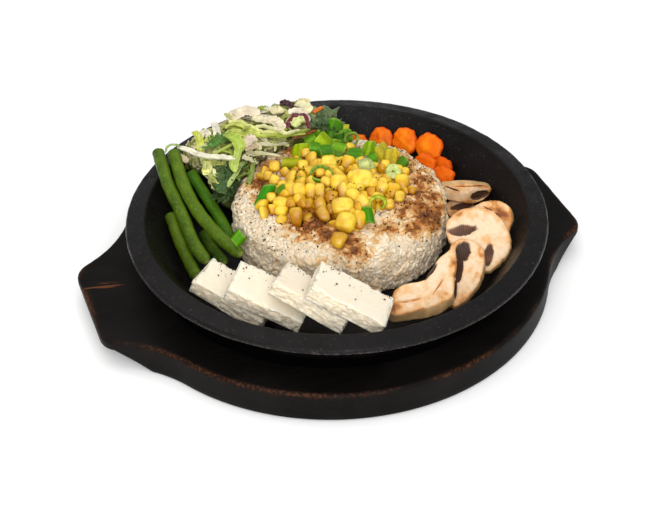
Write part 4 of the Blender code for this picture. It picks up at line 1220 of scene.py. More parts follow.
def cabbage_shreds(settings, random, core, normals):
    """Fine shreds lying on the heap from end to end: short bent strips, each its own colour, with
    painted shade making those lower in the heap darker.
    """
    total, steps = settings.shreds, 14
    row = random.integers(1, core.shape[0] - 1, total)
    col = random.integers(4, core.shape[1], total)
    start, normal = core[row, col], normals[row, col]
    start = start + normal * random.uniform(0.3, 2.2, total)[:, None]
    side = unit(np.cross(normal, random.normal(0, 1, (total, 3))))
    head = np.cross(normal, side)
    reach = random.uniform(6, 15, total)[:, None]
    bend = random.normal(0, 2.0, total)[:, None]
    s = np.linspace(-0.5, 0.5, steps)
    angle = (bend * s * 2)[..., None]
    step = side[:, None] * np.cos(angle) + head[:, None] * np.sin(angle)
    wave = np.cos(7 * s + random.uniform(0, 6, total)[:, None]) * 0.25
    step = step + normal[:, None] * wave[..., None]
    path = np.cumsum(step, 1) * (reach / steps)[..., None]
    path = keep_in_pan(path - path.mean(1, keepdims=True) + start[:, None])
    profile = np.sin(np.linspace(0.25, math.pi - 0.25, steps)) ** 0.5
    width = (1.4 + 3.4 * random.uniform(0, 1, total)[:, None] ** 1.6) * profile
    grids = ribbons(path, width, settings.shred_thickness / MM, normal,
                    random.normal(0.2, 0.25, total), random.uniform(0, 0.3, total), 2.0, 8,
                    random.uniform(0, 6, total))
    palette = np.array([linear(code) for code in SHRED_COLOURS])
    pick = palette[random.integers(0, len(palette), total)][:, None, None]
    shade = random.uniform(0.75, 1.0, total)[:, None, None, None]
    # Painted shade: shreds lower in the heap are darker.
    deep = 0.65 + 0.35 * smooth_step(grids[..., 2:], 42, 57)
    return [(on_dish(grids), pick * shade * deep)]


def keep_in_pan(path):
    """Push points back inside the wall: below the rim a point may be no further out than it."""
    radius, height = np.hypot(path[..., 0], path[..., 1]), path[..., 2]
    floor, slope = FLOOR_RADIUS / MM, (CREST_RADIUS - FLOOR_RADIUS) / (CREST_Z - FLOOR_Z)
    wall = floor + (height - FLOOR_Z / MM) * slope - 1.6
    limit = np.where(height < 51.5, wall, 124.0)
    pull = np.minimum(1, limit / np.maximum(radius, 1e-6))
    return path * channels(pull, pull, 1.0)


def salad_leaf():
    """Raw cabbage and leaves: each strip carries its own colour, painted shade included, with
    fine pale veins, a waxy sheen and light showing through."""
    made, tree, place = material("raw_salad_leaf")
    own = tone_channels(tree)[3]
    veins = node(tree, "TexNoise", sized(place, 1.6))
    pale = node(tree, "ValToRGB", {"Fac": veins}, [(0.5, 0.0), (0.8, 0.2)])
    base = node(tree, "Mix", {0: pale, 6: own, 7: "ece2a8"}, **COLOURS)
    shade = mottle(tree, place, 6, [(0.4, 1.0), (0.75, 0.75)], 2.0)
    base = node(tree, "Mix", {0: 1.0, 6: base, 7: shade}, blend_type="MULTIPLY", **COLOURS)
    return finish(made, base, 0.36, 0.18, relief=(veins, 0.12, 0.5),
                  under=(0.25, (1.0, 1.0, 1.0), 1.5))


# ---- tofu

def slab_grid(size, edge=0.9):
    """A slab as a tube along its length: sections are rounded rectangles, and the end faces
    are the same section shrunk towards its middle. The top face is at height 0."""
    half, half_w, half_t = np.array(size) / 2 - (0, edge, edge)
    corner = np.radians(np.linspace(0, 90, 5))
    section = []
    for sx, sy, steps in ((1, 1, 52), (-1, 1, 22), (-1, -1, 44), (1, -1, 22)):
        turn = corner + math.atan2(sy, sx) - math.pi / 4
        section.append(np.stack([sx * half_w + edge * np.cos(turn),
                                 sy * half_t + edge * np.sin(turn)], -1))
        side = np.array((half_w, half_t)) * ((-1, 1) if sx == sy else (1, -1)) * (sx, sy)
        share = np.linspace(0, 1, steps + 1)[1:-1, None]
        section.append(section[-1][-1] + (side - (sx * half_w, sy * half_t)) * share)
    section = np.vstack(section)
    inner = 1 - edge / (half_w + edge)
    rows = [(-half, share) for share in np.linspace(0.05, 0.93, 14)]
    rows += [(-half + edge * (1 - math.sin(a)), inner + (1 - inner) * (1 - math.cos(a)))
             for a in np.radians((15, 40, 65, 90))]
    body = [(x, 1.0) for x in np.linspace(-half + edge * 1.4, half - edge * 1.4, 92)]
    rows = rows + body + [(-x, share) for x, share in reversed(rows)]
    grid = np.array([np.c_[np.full(len(section), x), section * share] for x, share in rows])
    return grid - (0, 0, half_t + edge)


def tofu_turn(yaw, pitch, roll):
    """Roll about X, then pitch about Y, then yaw about Z, in degrees."""
    return np.array(Matrix.Rotation(math.radians(yaw), 3, "Z")
                    @ Matrix.Rotation(math.radians(pitch), 3, "Y")
                    @ Matrix.Rotation(math.radians(roll), 3, "X"))


def build_tofu(settings):
    """Slabs with a nearly smooth top and torn, crumbly sides: the cut faces carry lumps and
    level cracks, and pieces are missing along the upper edges."""
    made = firm_tofu(settings)
    shape = slab_grid(TOFU_SIZE)
    normals = outward(shape)
    side = smooth_step(np.abs(normals[..., 2]), 0.9, 0.3)
    top = smooth_step(normals[..., 2], 0.5, 0.9)
    rim = 2.6                       # how far in from an upper edge pieces may be missing
    inset = (np.abs(shape[..., :2]) - np.array(TOFU_SIZE[:2]) / 2).max(-1) + rim
    edge = smooth_step(inset, 0, rim)
    for number, (centre, turn) in enumerate(TOFU_PLACES, start=1):
        seed = 100 + 10 * number
        lumps = fractal(shape, 2.2, seed, 3) * 0.55 + fractal(shape, 7, seed + 3, 2) * 0.7
        cracks = -np.maximum(0, fractal(shape * (1, 1, 2.4), 5.0, seed + 4) - 0.12) * 1.3
        soft = fractal(shape, 12.0, seed + 5, 2) * 0.18 + noise(shape, 1.8, seed + 7) * 0.04
        moved = shape + normals * (side * (lumps + cracks - 0.25) + (1 - side) * soft)[..., None]
        torn = np.maximum(0, fractal(shape * (1, 1, 0), 3.4, seed + 8) + 0.02) * edge
        moved[..., 2] -= 3.0 * top * torn
        moved[..., 2] -= 0.5 * top * np.maximum(0, noise(shape, 2.6, seed + 9) - 0.5)
        tone = channels(np.maximum(side, torn * 1.2), 0.0, 0.0)
        grid = moved @ tofu_turn(*turn).T + centre
        shells(f"tofu_slab_{number}", [(on_dish(grid), tone)], made, [f"tofu_{number}"])


def firm_tofu(settings):
    """Pressed tofu: creamy white and nearly smooth outside, rough and a little yellower where
    cut, soft light passing a little way in."""
    made, tree, place = material("pressed_tofu")
    side = tone_channels(tree)[0]
    cut = np.array(settings.cut)
    torn = mottle(tree, place, 3, [(0.3, cut * (0.92, 0.89, 0.83)), (0.5, cut),
                                   (0.75, np.minimum(1, cut * 1.08))], 4.0)
    cloud = mottle(tree, place, 11, [(0.45, 0.0), (0.8, 0.35)])
    crumbs = node(tree, "TexNoise", sized(place, 1.1))
    crumbs = node(tree, "Math", {0: crumbs, 1: side}, operation="MULTIPLY")
    return finish(made, settings.curd, 0.5, 0.3, [(side, torn), (cloud, "e6d6b6")],
                  (crumbs, 0.5, 0.8), (0.5, (1.0, 0.85, 0.6), 4.0))


# ---- beans

def build_beans(settings):
    """Green beans: a slightly lumpy tube along each route, flattened a little, with a seam
    down one side and its ends cut or tapered."""
    made = bean_skin(settings)
    turn, seam_at = ring(22), 1.9
    for number, (route, radius) in enumerate(zip(BEAN_ROUTES, BEAN_RADII), start=1):
        path = smooth_route(route, 110)
        sides, ups = sides_and_ups(path, UP)
        near = np.r_[0, np.cumsum(np.linalg.norm(np.diff(path, axis=0), axis=1))]
        far = near[-1] - near
        lumps = 1 + 0.022 * np.sin(near / 10.5 * math.tau + number) \
            + 0.018 * np.sin(near / 23 * math.tau + 2 * number)
        cut_end = 0.80 + 0.20 * np.sqrt(np.clip(near / 1.5, 0, 1))
        tip = 0.45 + 0.55 * np.sqrt(np.clip(far / (5.0 if number in (2, 3) else 2.0), 0, 1))
        wide = 0.98 * radius * lumps * cut_end * tip
        wide[[0, -1]] *= 0.5
        seam = 1 - 0.06 * np.exp(-((turn - seam_at) / 0.22) ** 2)
        across = (wide[:, None] * np.cos(turn) * seam)[..., None]
        upward = (wide[:, None] * np.sin(turn) * seam * 0.92)[..., None]
        grid = path[:, None] + sides[:, None] * across + ups[:, None] * upward
        cut = (np.minimum(near, far) < 0.3)[:, None]
        tone = channels(cut, number / 5, np.exp(-((turn - seam_at) / 0.3) ** 2))
        shells(f"green_bean_{number}", [(on_dish(grid), tone)], made, [f"bean_{number}"])


def bean_skin(settings):
    """Boiled green bean: taut olive green skin with darker stretches, a soft sheen, and pale
    flesh at the cut ends."""
    made, tree, place = material("boiled_green_bean")
    cut, each, line, _ = tone_channels(tree)
    base = mottle(tree, place, 7, [(0.3, settings.dark), (0.55, settings.skin),
                                   (0.8, "64801c")], 4.0)
    own = node(tree, "ValToRGB", {"Fac": each},
               [(0.15, "485806"), (0.4, "425a0c"), (0.6, "546e12"), (0.8, "35760c"),
                (1.0, "2c4c0c")])
    speck = mottle(tree, place, 1.3, [(0.52, 0.0), (0.72, 0.4)])
    seam = node(tree, "Math", {0: line, 1: 0.45}, operation="MULTIPLY")
    over = [(0.5, own), (speck, "7c9440"), (seam, "68841e"), (cut, settings.flesh)]
    return finish(made, base, 0.38, 0.12, over, (speck, 0.10, 0.4),
                  (0.1, (0.5, 1.0, 0.2), 1.5), (0.02, 0.25))


# ---- carrots

def build_carrots(settings):
    """Rounds of carrot, boiled soft: thick discs with well rounded edges and bulging faces, so
    lightly crinkled that the waves hardly show, and nicked along the rim."""
    made = boiled_carrot(settings)
    turn = ring(80)
    half = CARROT_THICKNESS / 2
    bend = np.radians(np.linspace(8, 172, 15))
    rim = [(0.80 + 0.20 * math.sin(a), -half * 0.80 * math.cos(a)) for a in bend]
    face = [(s, half * (0.80 + 0.30 * (1 - (s / 0.8) ** 2))) for s in np.linspace(0.8, 0.04, 16)]
    share, level = np.array([(s, -z) for s, z in reversed(face)] + rim + face).T[..., None]
    for number, (centre, radius, (azimuth, elevation), clock) in enumerate(CARROT_PLACES, start=1):
        uneven = 1 + 0.05 * np.sin(2 * turn + number) + 0.03 * np.sin(5 * turn + 2 * number) \
            + 0.02 * np.sin(11 * turn + number)
        grid = polar(share * 1.13 * radius * uneven, turn, level)
        grid[..., 2] += settings.ridge / MM * np.sin(math.tau * grid[..., 1] / 4.6 + number)
        lumps = fractal(grid, 8, 200 + number) * 0.4 + noise(grid, 2.4, 230 + number) * 0.12
        nicks = -np.maximum(0, noise(grid * (1, 1, 0.4), 3.4, 260 + number) - 0.35) * 1.6
        grid = grid + outward(grid) * (lumps + nicks * smooth_step(share, 0.7, 0.95))[..., None]
        # The second tone channel marks the lower rounds, which get painted shade.
        tone = channels(share, number > 4, 0.0)
        grid = grid @ facing(azimuth, elevation, clock).T + centre
        shells(f"carrot_round_{number}", [(on_dish(grid), tone)], made,
               [f"carrot_{number}"])


def boiled_carrot(settings):
    """Boiled carrot: soft wet orange flesh, lighter on the cut faces and redder at the rim.
    The lower rounds are painted darker as shade.
    """
    made, tree, place = material("boiled_carrot")
    share, low = tone_channels(tree)[:2]
    base = node(tree, "ValToRGB", {"Fac": share},
                [(0.0, "f88a10"), (0.45, settings.flesh), (0.82, "e87006"),
                 (0.99, settings.rim)])
    patch = node(tree, "TexNoise", sized(place, 7))
    light = node(tree, "ValToRGB", {"Fac": patch}, [(0.5, 0.0), (0.75, 0.6)])
    dark = node(tree, "ValToRGB", {"Fac": patch}, [(0.28, 0.6), (0.46, 0.0)])
    # Painted shade over the lower rounds.
    low = node(tree, "Math", {0: low, 1: 0.6}, operation="MULTIPLY")
    fine = node(tree, "TexNoise", sized(place, 1.6))
    over = [(light, "ff9a20"), (dark, "d24200"), (low, "d85400")]
    return finish(made, base, 0.36, 0.12, over, (fine, 0.08, 0.4), (0.2, (1.0, 0.35, 0.08), 2.0))


# ---- mushrooms

MUSHROOM_MARKS = (
    # for each slice in mm on its cut face: gills, creases and toasted patches as (middle, half
    # length, half width, turn), then how toasted the slice is and how light its gills are
    ((((8.8, -1.8), 7.5, 3.2, 11), ((-9.7, 3.6), 5, 0.7, 157)), (((2, 4.6), 13, 0.6, -3),),
     (((4, -5), 9, 2.6, 10), ((10, 4), 6, 2, -10)), 0.34, 1.2),
    ((), (((-2, 4), 8, 0.6, -30),), (((3, 3), 9, 6, -20),), 0.5, 1.2),
    ((((-10.2, 4.6), 10.5, 4.2, 12), ((7.6, -10), 8.4, 3.3, -92)), (), (((10, 14), 10, 3, -45),
     ((-14, 14), 7, 2.5, 45)), 0, 1.7),
    ((((-3.9, 12.2), 8.6, 5, -84), ((-4.3, -1), 10.5, 2.9, -88), ((-4.4, -14.5), 8, 1.1, -84)), (),
     (((2.2, -18.4), 7, 4, 60), ((6.5, -4), 7, 2.6, 75), ((7, 12), 6, 2, 110)), 0.24, 0.7),
    ((((-1, 11.8), 7, 1.9, 55),), (((-13, -7.4), 10, 0.9, 8), ((4, 2), 8, 0.7, 60)), (((-15, -0.6),
     9, 4.2, 5), ((7, -3), 4, 8, -15), ((-20, -11), 6, 3.6, 30), ((12, 18), 3, 9, 0)), 0.26, 0.8),
    ((((1.5, 1.3), 8, 2.5, 5),), (), (((0, -3), 9, 3, 0),), 0.5, 1.2),
)


def mushroom_reach(outline, turn, seed):
    """Reach of a slice's outline along each heading from its middle, on a smooth curve."""
    dense = smooth_route(outline[-3:] + outline + outline[:3], 1500)
    heading = np.arctan2(dense[:, 1], dense[:, 0]) % math.tau
    order = np.argsort(heading)
    reach = np.interp(turn, heading[order], np.hypot(*dense[order].T), period=math.tau)
    return reach * (1 + 0.035 * fractal(polar(reach, turn, 0.0), 5.0, seed))


def patch_share(x, y, patches, seed, soft=0.55):
    """How far a point lies inside any of some oval patches with ragged edges, from 0 to 1. The
    edge fades over the soft share of the patch."""
    inside = np.zeros_like(x)
    flat = channels(x, y, 0.0)
    ragged = 0.16 * noise(flat, 3.0, seed) + 0.06 * noise(flat, 1.3, seed + 1)
    for (px, py), long_half, wide_half, tilt in patches:
        c, s = math.cos(math.radians(tilt)), math.sin(math.radians(tilt))
        u = ((x - px) * c + (y - py) * s) / long_half
        v = ((y - py) * c - (x - px) * s) / wide_half
        inside = np.maximum(inside, 1 - smooth_step(np.hypot(u, v) + ragged, 1.1 - soft, 1.1))
    return inside


def mushroom_grid(number, settings):
    """A slice in polar form: rows run from the middle of the far face out over the rounded edge
    and in to the middle of the cut face. Gills are sunk and ribbed across their length."""
    _, _, thickness, flare, cap, outline = MUSHROOM_SLICES[number - 1]
    gills, creases, toasted, toast, light = MUSHROOM_MARKS[number - 1]
    seed = 300 + 10 * number
    turn = ring(240)
    reach = mushroom_reach(outline, turn, seed)
    soft = 1.1                      # how deep the rounding of the edges goes
    rows = [(s, thickness) for s in np.linspace(0.02, 0.92, 24)]
    rows += [(0.95, thickness - 0.1), (0.98, thickness - 0.35), (1.0, thickness - soft)]
    rows += [(1.0, d) for d in np.linspace(thickness - soft, soft, 7)[1:]]
    rows += [(0.99, 0.5), (0.975, 0.2), (0.955, 0.05)]
    rows += [(s, 0.0) for s in np.linspace(0.93, 0.02, 44)]
    share, depth = np.array(rows).T[..., None]
    away = turn - math.radians(cap)
    outer = flare * np.maximum(0, np.cos(away)) ** 0.7
    flat = polar(share * (reach + outer * depth / thickness), turn, 0.0)
    x, y = flat[..., 0], flat[..., 1]
    face = smooth_step(depth, 1.0, 0.0)
    gill = patch_share(x, y, gills, seed + 4) * face
    crease = patch_share(x, y, creases, seed + 6, 0.9) * face
    ribs = np.sin(math.tau / 1.15 * (x * 0.9 + y * 0.25) + 1.6 * noise(flat, 5, seed + 5))
    depth = depth + gill * (1.5 + 0.3 * ribs) + 1.6 * crease
    grid = channels(x, y, -depth)
    rough = fractal(grid, 9.0, seed, 2) * 0.9 + fractal(grid, 2.0, seed + 6) * 0.10
    grid[..., 2] += rough * (0.35 + 0.65 * smooth_step(thickness, 4.0, 7.0))
    grid[..., 2] += 0.6 * np.cos(np.hypot(x, y) / 9.0) - 0.6
    on_cap = smooth_step(np.cos(away), -0.25, 0.15)
    skin = smooth_step(share, 0.955, 0.985) * on_cap * smooth_step(depth, 0.15, 0.7)
    brown = 0.30 * fractal(grid, 8.0, seed + 7) + 0.25 * fractal(grid, 2.6, seed + 8)
    brown = brown + 0.35 + 0.9 * toast + 0.55 * patch_share(x, y, toasted, seed + 9, 1.0) * face
    # Creases are browned: painted shade in their grooves.
    brown = brown + 0.35 * smooth_step(share, 0.84, 0.98) + 0.7 * crease
    brown = brown + 0.30 * patch_share(x, y, gills, seed + 4, 0.6) * face
    steps = np.clip(brown, 0, 1.6)
    hide = np.array(settings.skin) * (1 - 0.35 * smooth_step(steps, 0.5, 1.2))[..., None]
    fins = (1.15 + 0.45 * ribs + 0.5 * noise(flat, 4, seed + 3))[..., None]
    fins = np.clip(np.array(settings.gill) * light * fins, 0, 1)
    tone = np.array(settings.flesh)
    for tint, amount in ((linear("e3b076"), smooth_step(steps, 0.25, 0.95)),
                         (linear("c07c38"), smooth_step(steps, 0.85, 1.25)),
                         (linear("8a4c1c"), smooth_step(steps, 1.2, 1.55)),
                         (hide, skin), (fins, smooth_step(gill, 0.10, 0.65))):
        tone = tone + (tint - tone) * amount[..., None]
    return grid, np.clip(tone, 0, 1)


def build_mushrooms(settings):
    """Each slice is laid where it lies, its cut face to the way it looks."""
    made = mushroom_flesh()
    for number, (centre, (azimuth, elevation), *_) in enumerate(MUSHROOM_SLICES, start=1):
        grid, tone = mushroom_grid(number, settings)
        grid = grid @ facing(azimuth, elevation, 0).T + centre
        shells(f"mushroom_slice_{number}", [(on_dish(grid), tone)], made,
               [f"mushroom_{number}"])


def mushroom_flesh():
    """Fried mushroom slice: the cream flesh, tan skin, toasted patches, gills and the painted
    shade in the creases are in each slice's own colours, over which lie fine streaks and a
    moist sheen."""
    made, tree, place = material("fried_mushroom")
    base, fine = dappled(tree, place, 2.2, [(0.40, 1.0), (0.80, 0.86)])
    return finish(made, base, 0.38, 0.3, relief=(fine, 0.15, 0.5),
                  under=(0.3, (1.0, 0.7, 0.45), 2.0))


# ---- spring onion

ONION_CHOPS = (
    # middle of the piece, length along the leaf, radius, arc in degrees, clock of the leaf,
    # how far it tips up, colour
    ((-1, 64, 54.2), 8, 6, 110, 10, 48, "9aab06"),
    ((-12, 54, 54), 11, 3.6, 130, 92, 55, "a5a305"),
    ((9, 70, 56), 7, 4.6, 100, 60, 50, "669604"),
    ((15, 64, 57.5), 9, 5.5, 110, -40, 50, "9ab30d"),
    ((25, 72, 57), 13, 4.6, 150, 15, 45, "447a04"),
    ((24, 78, 58.5), 5, 3.6, 120, 20, 50, "759e0c"),
    ((26, 65, 55), 10, 3.2, 120, 5, 45, "255003"),
    ((31, 67, 56), 7, 5, 100, 80, 45, "568814"),
    ((34, 74, 56.5), 5, 3.3, 110, 85, 55, "c0b62b"),
    ((8, 59, 56), 6.5, 4.5, 100, 100, 50, "539205"),
    ((12, 52, 57), 8, 4.2, 130, 80, 45, "468604"),
    ((21, 53, 56), 8, 5.5, 95, 105, 50, "6a9811"),
    ((31, 44, 55.5), 9, 5, 110, 95, 48, "468006"),
    ((39, 45, 56), 9, 3.8, 120, 15, 45, "85a70c"),
    ((38, 36, 55), 6, 4, 110, 60, 50, "569404"),
    ((48, 43, 54.5), 11, 5, 130, -35, 48, "cdb82b"),
    ((50, 33, 54.5), 10, 3.7, 140, 5, 45, "d0b12c"),
    ((55, 26, 53.6), 7, 2.6, 150, 35, 45, "497706"),
    ((-27, 22, 57.2), 6, 3.2, 130, 50, 50, "6a9606"),
    ((-39, 24, 54.4), 13, 3.2, 165, 25, 50, "318008"),
    ((13, -21, 55), 9, 3.2, 150, -10, 45, "448803"),
    ((22, 43, 55.6), 8, 2.2, 150, 35, 45, "566d06"),
    ((5, 66, 54), 7, 4, 120, 30, 50, "6c9608"),
    ((17, 72, 54.5), 8, 4.2, 120, -10, 50, "588807"),
    ((28, 60, 54.5), 7, 3.6, 130, 70, 50, "467806"),
    ((20, 60, 56), 7, 4, 120, 20, 50, "7a9f0e"),
    ((42, 52, 53.6), 7, 3.6, 120, 60, 50, "68900c"),
    ((-64.4, -1.3, 46.5), 7, 3.6, 140, 40, 50, "56960c"),
)
ONION_RINGS = (
    # centre, radius, part of a turn, start in degrees, width, wall, way its axis points, colour
    ((-1, 24, 60.6), 7, 1, 0, 2.6, 1.6, (-105, 80), "497907"),
    ((1, 14, 60.2), 6, 0.3, -50, 1.6, 1.2, (-100, 62), "a89c27"),
    ((-9, 29, 59), 6, 0.32, 190, 3.2, 1.4, (-110, 62), "528609"),
    ((33, 60, 56.5), 4, 0.8, -70, 4, 1.6, (-110, 45), "506b03"),
    ((23, -11, 55.5), 4.6, 0.8, -50, 5, 1.7, (-112, 22), "a8b105"),
    ((29, 24, 59), 3, 1, 0, 7.5, 5, (-30, 25), "d2d88c"),
    ((44, 15, 56.8), 2.9, 1, 0, 5.5, 4.2, (-98, 45), "d2d690"),
)


def build_onion(settings):
    """Cut spring onion: chopped leaf, each piece an arc of a tube with its ridge to the front,
    and rings. The section is a rounded bar; the arc wavers and its cut ends are slanted."""
    wall, size = settings.wall / MM, 1.15   # chops are made larger, as they lie half hidden
    usual = 1.1                             # the wall that the rings' walls are given for
    pieces = [(place, facing(FRONT, tip, clock)[:, [2, 0, 1]], size * radius, -arc / 2, arc / 2,
               size * span, wall, code, True)
              for place, span, radius, arc, clock, tip, code in ONION_CHOPS]
    pieces += [(place, facing(*axis, 0), radius, start, start + 360 * share, span,
                ring_wall * wall / usual, code, False)
               for place, radius, share, start, span, ring_wall, axis, code in ONION_RINGS]
    leaf, pale = np.array(settings.leaf), np.array(settings.pale)
    rows, parts = 40, []
    s = np.linspace(0, 1, rows)
    x, y = squarish(ring(16), 0.3, 0.5)
    inside = np.maximum(0.5 - 0.5 * y, np.abs(x) > 0.8)[:, None]
    for number, (place, basis, radius, first, last, span, wall, code, chop) in enumerate(pieces):
        turn = np.linspace(math.radians(first), math.radians(last), rows)
        out = polar(1.0, turn, 0.0)
        wobble = radius * (1 + 0.07 * np.sin(2 * turn + number) + 0.04 * np.sin(3 * turn + number))
        slant = 0.14 * span * np.sin(turn * (1 if chop else 2) + 2.0 * number)
        flat = out * wobble[:, None] + UP * slant[:, None] - ((radius, 0, 0) if chop else 0)
        flare = 0.05 * radius * x ** 2 * (1 if number % 2 else -1)
        taper = 0.65 + 0.35 * np.minimum(1, np.minimum(s, 1 - s) / 0.14) ** 0.6
        if last - first > 344:              # a closed ring has no cut ends
            taper = np.ones(rows)
        grid = (flat[:, None] + out[:, None] * (y * wall / 2 + flare)[:, None]
                + UP * (x * span / 2)[:, None] * taper[:, None, None])
        grid = grid + (noise(grid, 4, 400 + number) * 0.3)[..., None] * out[:, None]
        shade = 0.85 * linear(code) + 0.15 * leaf
        tone = shade * (1 - 0.3 * inside) + pale * 0.3 * inside
        streak = 1 + 0.4 * noise(flat * (1, 1, 0.2), 1.7, 430 + number)[:, None, None]
        parts.append((on_dish(grid @ basis.T + place), np.clip(tone * streak, 0, 1)))
    shells("spring_onion", parts, onion_leaf())


def onion_leaf():
    """Fresh spring onion: thin juicy wall, bright green outside and paler inside."""
    made, tree, place = material("fresh_spring_onion")
    base, streak = dappled(tree, place, 1.5, [(0.4, 1.0), (0.75, 0.7)])
    return finish(made, base, 0.32, 0.10, relief=(streak, 0.08, 0.5),
                  under=(0.05, (0.5, 1.0, 0.2), 1.2), film=(0.03, 0.2))


# ---- pepper

def build_pepper(settings):
    """Cracked pepper: small angular chips strewn over the rice, the corn and the tofu."""
    random = np.random.default_rng(77)
    total, on_slab = settings.specks, 26
    heading = (np.arange(total) + 0.5) * GOLDEN_ANGLE
    place, normal = rice_skin(heading, random.uniform(0.12, 0.95, total), 0.6)
    place = place + normal * rice_relief(place)[:, None]
    dense = noise(place, 12, 90) * 0.6 + 0.35 * smooth_step(place[:, 1], -25, 40) \
        + 0.45 * smooth_step(-place[:, 0], -5, 40) + 1.6 * sauce_amount(place) \
        - 0.1 - 0.8 * smooth_step(-place[:, 2], -44, -34)
    keep = dense > random.uniform(-0.35, 1.0, total)
    turn, part = random.uniform(0, math.tau, 240), np.sqrt(random.uniform(0, 1, 240))
    on_corn, corn_normal = corn_skin(turn, part)
    places, normals = [place[keep], on_corn + (0, 0, 1.6)], [normal[keep], corn_normal]
    for centre, turn in TOFU_PLACES:
        turn = tofu_turn(*turn)
        spots = np.c_[random.uniform(-23, 23, on_slab),
                      11.8 - np.abs(random.normal(0, 6, on_slab)), np.full(on_slab, 0.15)]
        places.append(spots @ turn.T + centre)
        normals.append(np.tile(turn[:, 2], (on_slab, 1)))
    place, normal = np.vstack(places), np.vstack(normals)
    total = len(place)
    lean = np.radians((35, 90, 145))[:, None]
    template = polar(np.sin(lean), ring(5) + lean, -np.cos(lean))
    size = 0.22 + 0.48 * random.uniform(0, 1, total) ** 2.0
    scales = size[:, None] * random.uniform(0.6, 1.3, (total, 3))
    tilt = unit(normal + random.normal(0, 0.5, (total, 3)))
    grids = copies_of(template, aim(tilt, random.uniform(0, math.tau, total)), place, scales)
    each = random.uniform(0, 1, total)
    each[-on_slab * len(TOFU_PLACES):] **= 0.4
    each = each[:, None, None, None]
    tone = np.where(each < 0.55, np.array(settings.husk) * (0.8 + 1.2 * each), linear("84501e"))
    shells("cracked_pepper", [(on_dish(grids), tone)], pepper_husk(), smooth=False)


def pepper_husk():
    """Cracked black pepper: dull dark brown husk with a few red brown chips."""
    made, tree, place = material("cracked_black_pepper")
    base, _ = dappled(tree, place, 0.8, [(0.4, 1.0), (0.7, 0.5)], 2.0)
    return finish(made, base, 0.7, 0.3)


# ---- stage

LOOKED_AT = np.array((-0.00654, -0.00682, 0.020))
STUDIO_LIGHTS = (
    # name, place, size, watts, colour
    ("key_softbox", (-0.25, 0.55, 1.55), 1.5, 7.0, "fffdf8"),
    ("top_softbox", (0.2, -0.3, 1.8), 1.6, 7.0, "ffffff"),
    ("front_softbox", (-0.5, -1.35, 0.95), 1.4, 24.0, "ffffff"),
)


def build_stage(settings):
    """The camera is turned about the point it looks at: heading, height and roll."""
    scene = bpy.context.scene
    mesh = bpy.data.meshes.new("floor")
    far, low = 3.0, -0.0001
    mesh.from_pydata([(-far, -far, low), (far, -far, low), (far, far, low), (-far, far, low)],
                     [], [(0, 1, 2, 3)])
    mesh.materials.append(finish(material("studio_floor")[0], settings.floor, 0.9, 0.1))
    added("floor", mesh)
    for name, place, size, power, tint in STUDIO_LIGHTS:
        data = bpy.data.lights.new(name, "AREA")
        data.size, data.energy, data.color = size, power, linear(tint)
        light = added(name, data)
        light.location = place
        light.rotation_euler = light.location.to_track_quat("Z", "Y").to_euler()
    scene.world = bpy.data.worlds.new("studio")
    scene.world.use_nodes = True
    tree = scene.world.node_tree
    feed(tree, tree.nodes["Background"], {"Color": "ffffff", "Strength": settings.ambient})
    scene.view_settings.view_transform = "Standard"
    data = bpy.data.cameras.new("camera")
    data.lens, data.sensor_width = settings.lens, 36.0
    scene.camera = added("camera", data)
    az, el, roll = settings.azimuth, settings.elevation, settings.roll
    back = np.array((math.sin(az) * math.cos(el), -math.cos(az) * math.cos(el), math.sin(el)))
    right = unit(np.cross(-back, UP))
    up = np.cross(right, -back)
    side = right * math.cos(roll) + up * math.sin(roll)
    head = -right * math.sin(roll) + up * math.cos(roll)
    basis = np.eye(4)
    basis[:3] = np.c_[side, head, back, LOOKED_AT + back * settings.distance]
    scene.camera.matrix_world = Matrix(basis.tolist())


# ---- operators

class DISH_OT_stage(Operator):
    """Set up the floor, the lights and the camera"""
    bl_idname = "pepper_rice.stage"
    bl_label = "Stage"

    def execute(self, context):
        build_stage(context.scene.pepper_rice.stage)
        return {"FINISHED"}


class DISH_OT_board(Operator):
    """Build the wooden board"""
    bl_idname = "pepper_rice.board"
    bl_label = "Board"

    def execute(self, context):
        build_board(context.scene.pepper_rice.board)
        return {"FINISHED"}


class DISH_OT_pan(Operator):
    """Build the iron pan"""
    bl_idname = "pepper_rice.pan"
    bl_label = "Pan"

    def execute(self, context):
        build_pan(context.scene.pepper_rice.pan)
        return {"FINISHED"}


class DISH_OT_rice(Operator):
    """Build the mound of rice and its grains"""
    bl_idname = "pepper_rice.rice"
    bl_label = "Rice"

    def execute(self, context):
        build_rice(context.scene.pepper_rice.rice)
        return {"FINISHED"}


class DISH_OT_corn(Operator):
    """Build the heap of sweetcorn"""
    bl_idname = "pepper_rice.corn"
    bl_label = "Sweetcorn"

    def execute(self, context):
        build_corn(context.scene.pepper_rice.corn)
        return {"FINISHED"}


class DISH_OT_salad(Operator):
    """Build the shredded salad"""
    bl_idname = "pepper_rice.salad"
    bl_label = "Salad"

    def execute(self, context):
        build_salad(context.scene.pepper_rice.salad)
        return {"FINISHED"}


class DISH_OT_tofu(Operator):
    """Build the slabs of tofu"""
    bl_idname = "pepper_rice.tofu"
    bl_label = "Tofu"

    def execute(self, context):
        build_tofu(context.scene.pepper_rice.tofu)
        return {"FINISHED"}


class DISH_OT_beans(Operator):
    """Build the green beans"""
    bl_idname = "pepper_rice.beans"
    bl_label = "Green beans"

    def execute(self, context):
        build_beans(context.scene.pepper_rice.bean)
        return {"FINISHED"}


class DISH_OT_carrots(Operator):
    """Build the carrot rounds"""
    bl_idname = "pepper_rice.carrots"
    bl_label = "Carrots"

    def execute(self, context):
        build_carrots(context.scene.pepper_rice.carrot)
        return {"FINISHED"}


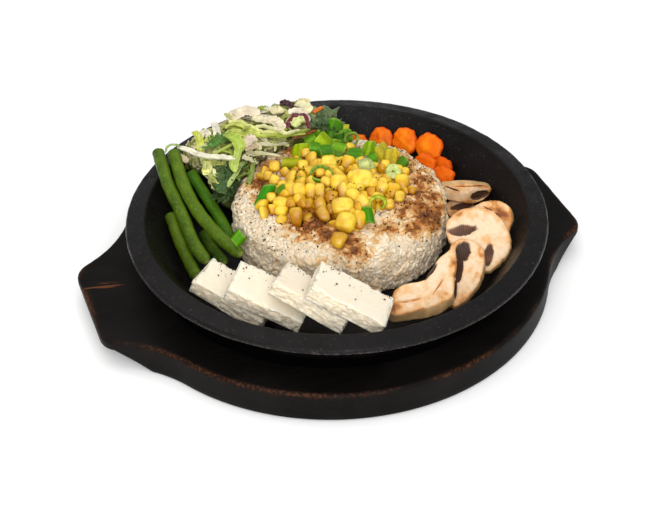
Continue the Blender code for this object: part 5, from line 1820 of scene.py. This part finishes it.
class DISH_OT_mushrooms(Operator):
    """Build the mushroom slices"""
    bl_idname = "pepper_rice.mushrooms"
    bl_label = "Mushrooms"

    def execute(self, context):
        build_mushrooms(context.scene.pepper_rice.mushroom)
        return {"FINISHED"}


class DISH_OT_onion(Operator):
    """Build the cut spring onion"""
    bl_idname = "pepper_rice.onion"
    bl_label = "Spring onion"

    def execute(self, context):
        build_onion(context.scene.pepper_rice.onion)
        return {"FINISHED"}


class DISH_OT_pepper(Operator):
    """Strew cracked pepper over the dish"""
    bl_idname = "pepper_rice.pepper"
    bl_label = "Pepper"

    def execute(self, context):
        build_pepper(context.scene.pepper_rice.pepper)
        return {"FINISHED"}


OPERATORS = (DISH_OT_stage, DISH_OT_board, DISH_OT_pan, DISH_OT_rice, DISH_OT_corn, DISH_OT_salad,
             DISH_OT_tofu, DISH_OT_beans, DISH_OT_carrots, DISH_OT_mushrooms, DISH_OT_onion,
             DISH_OT_pepper)
SETTINGS = (BoardSettings, PanSettings, RiceSettings, CornSettings, SaladSettings, TofuSettings,
            BeanSettings, CarrotSettings, MushroomSettings, OnionSettings, PepperSettings,
            StageSettings, DishSettings)


class DISH_PT_panel(Panel):
    """Lists the dish's pieces"""
    bl_idname = "DISH_PT_panel"
    bl_label = "Tofu Pepper Rice"
    bl_space_type = "VIEW_3D"
    bl_region_type = "UI"
    bl_category = "Pepper Rice"

    def draw(self, context):
        for operator in OPERATORS:
            self.layout.operator(operator.bl_idname)


CLASSES = SETTINGS + OPERATORS + (DISH_PT_panel,)


def register():
    """Make the classes and settings known to Blender."""
    for made in CLASSES:
        bpy.utils.register_class(made)
    bpy.types.Scene.pepper_rice = PointerProperty(type=DishSettings)


def unregister():
    """Take them out again."""
    del bpy.types.Scene.pepper_rice
    for made in reversed(CLASSES):
        bpy.utils.unregister_class(made)


def main():
    """Build every piece in turn."""
    register()
    for operator in OPERATORS:
        getattr(bpy.ops.pepper_rice, operator.bl_idname.split(".")[1])()


if __name__ == "__main__":
    main()
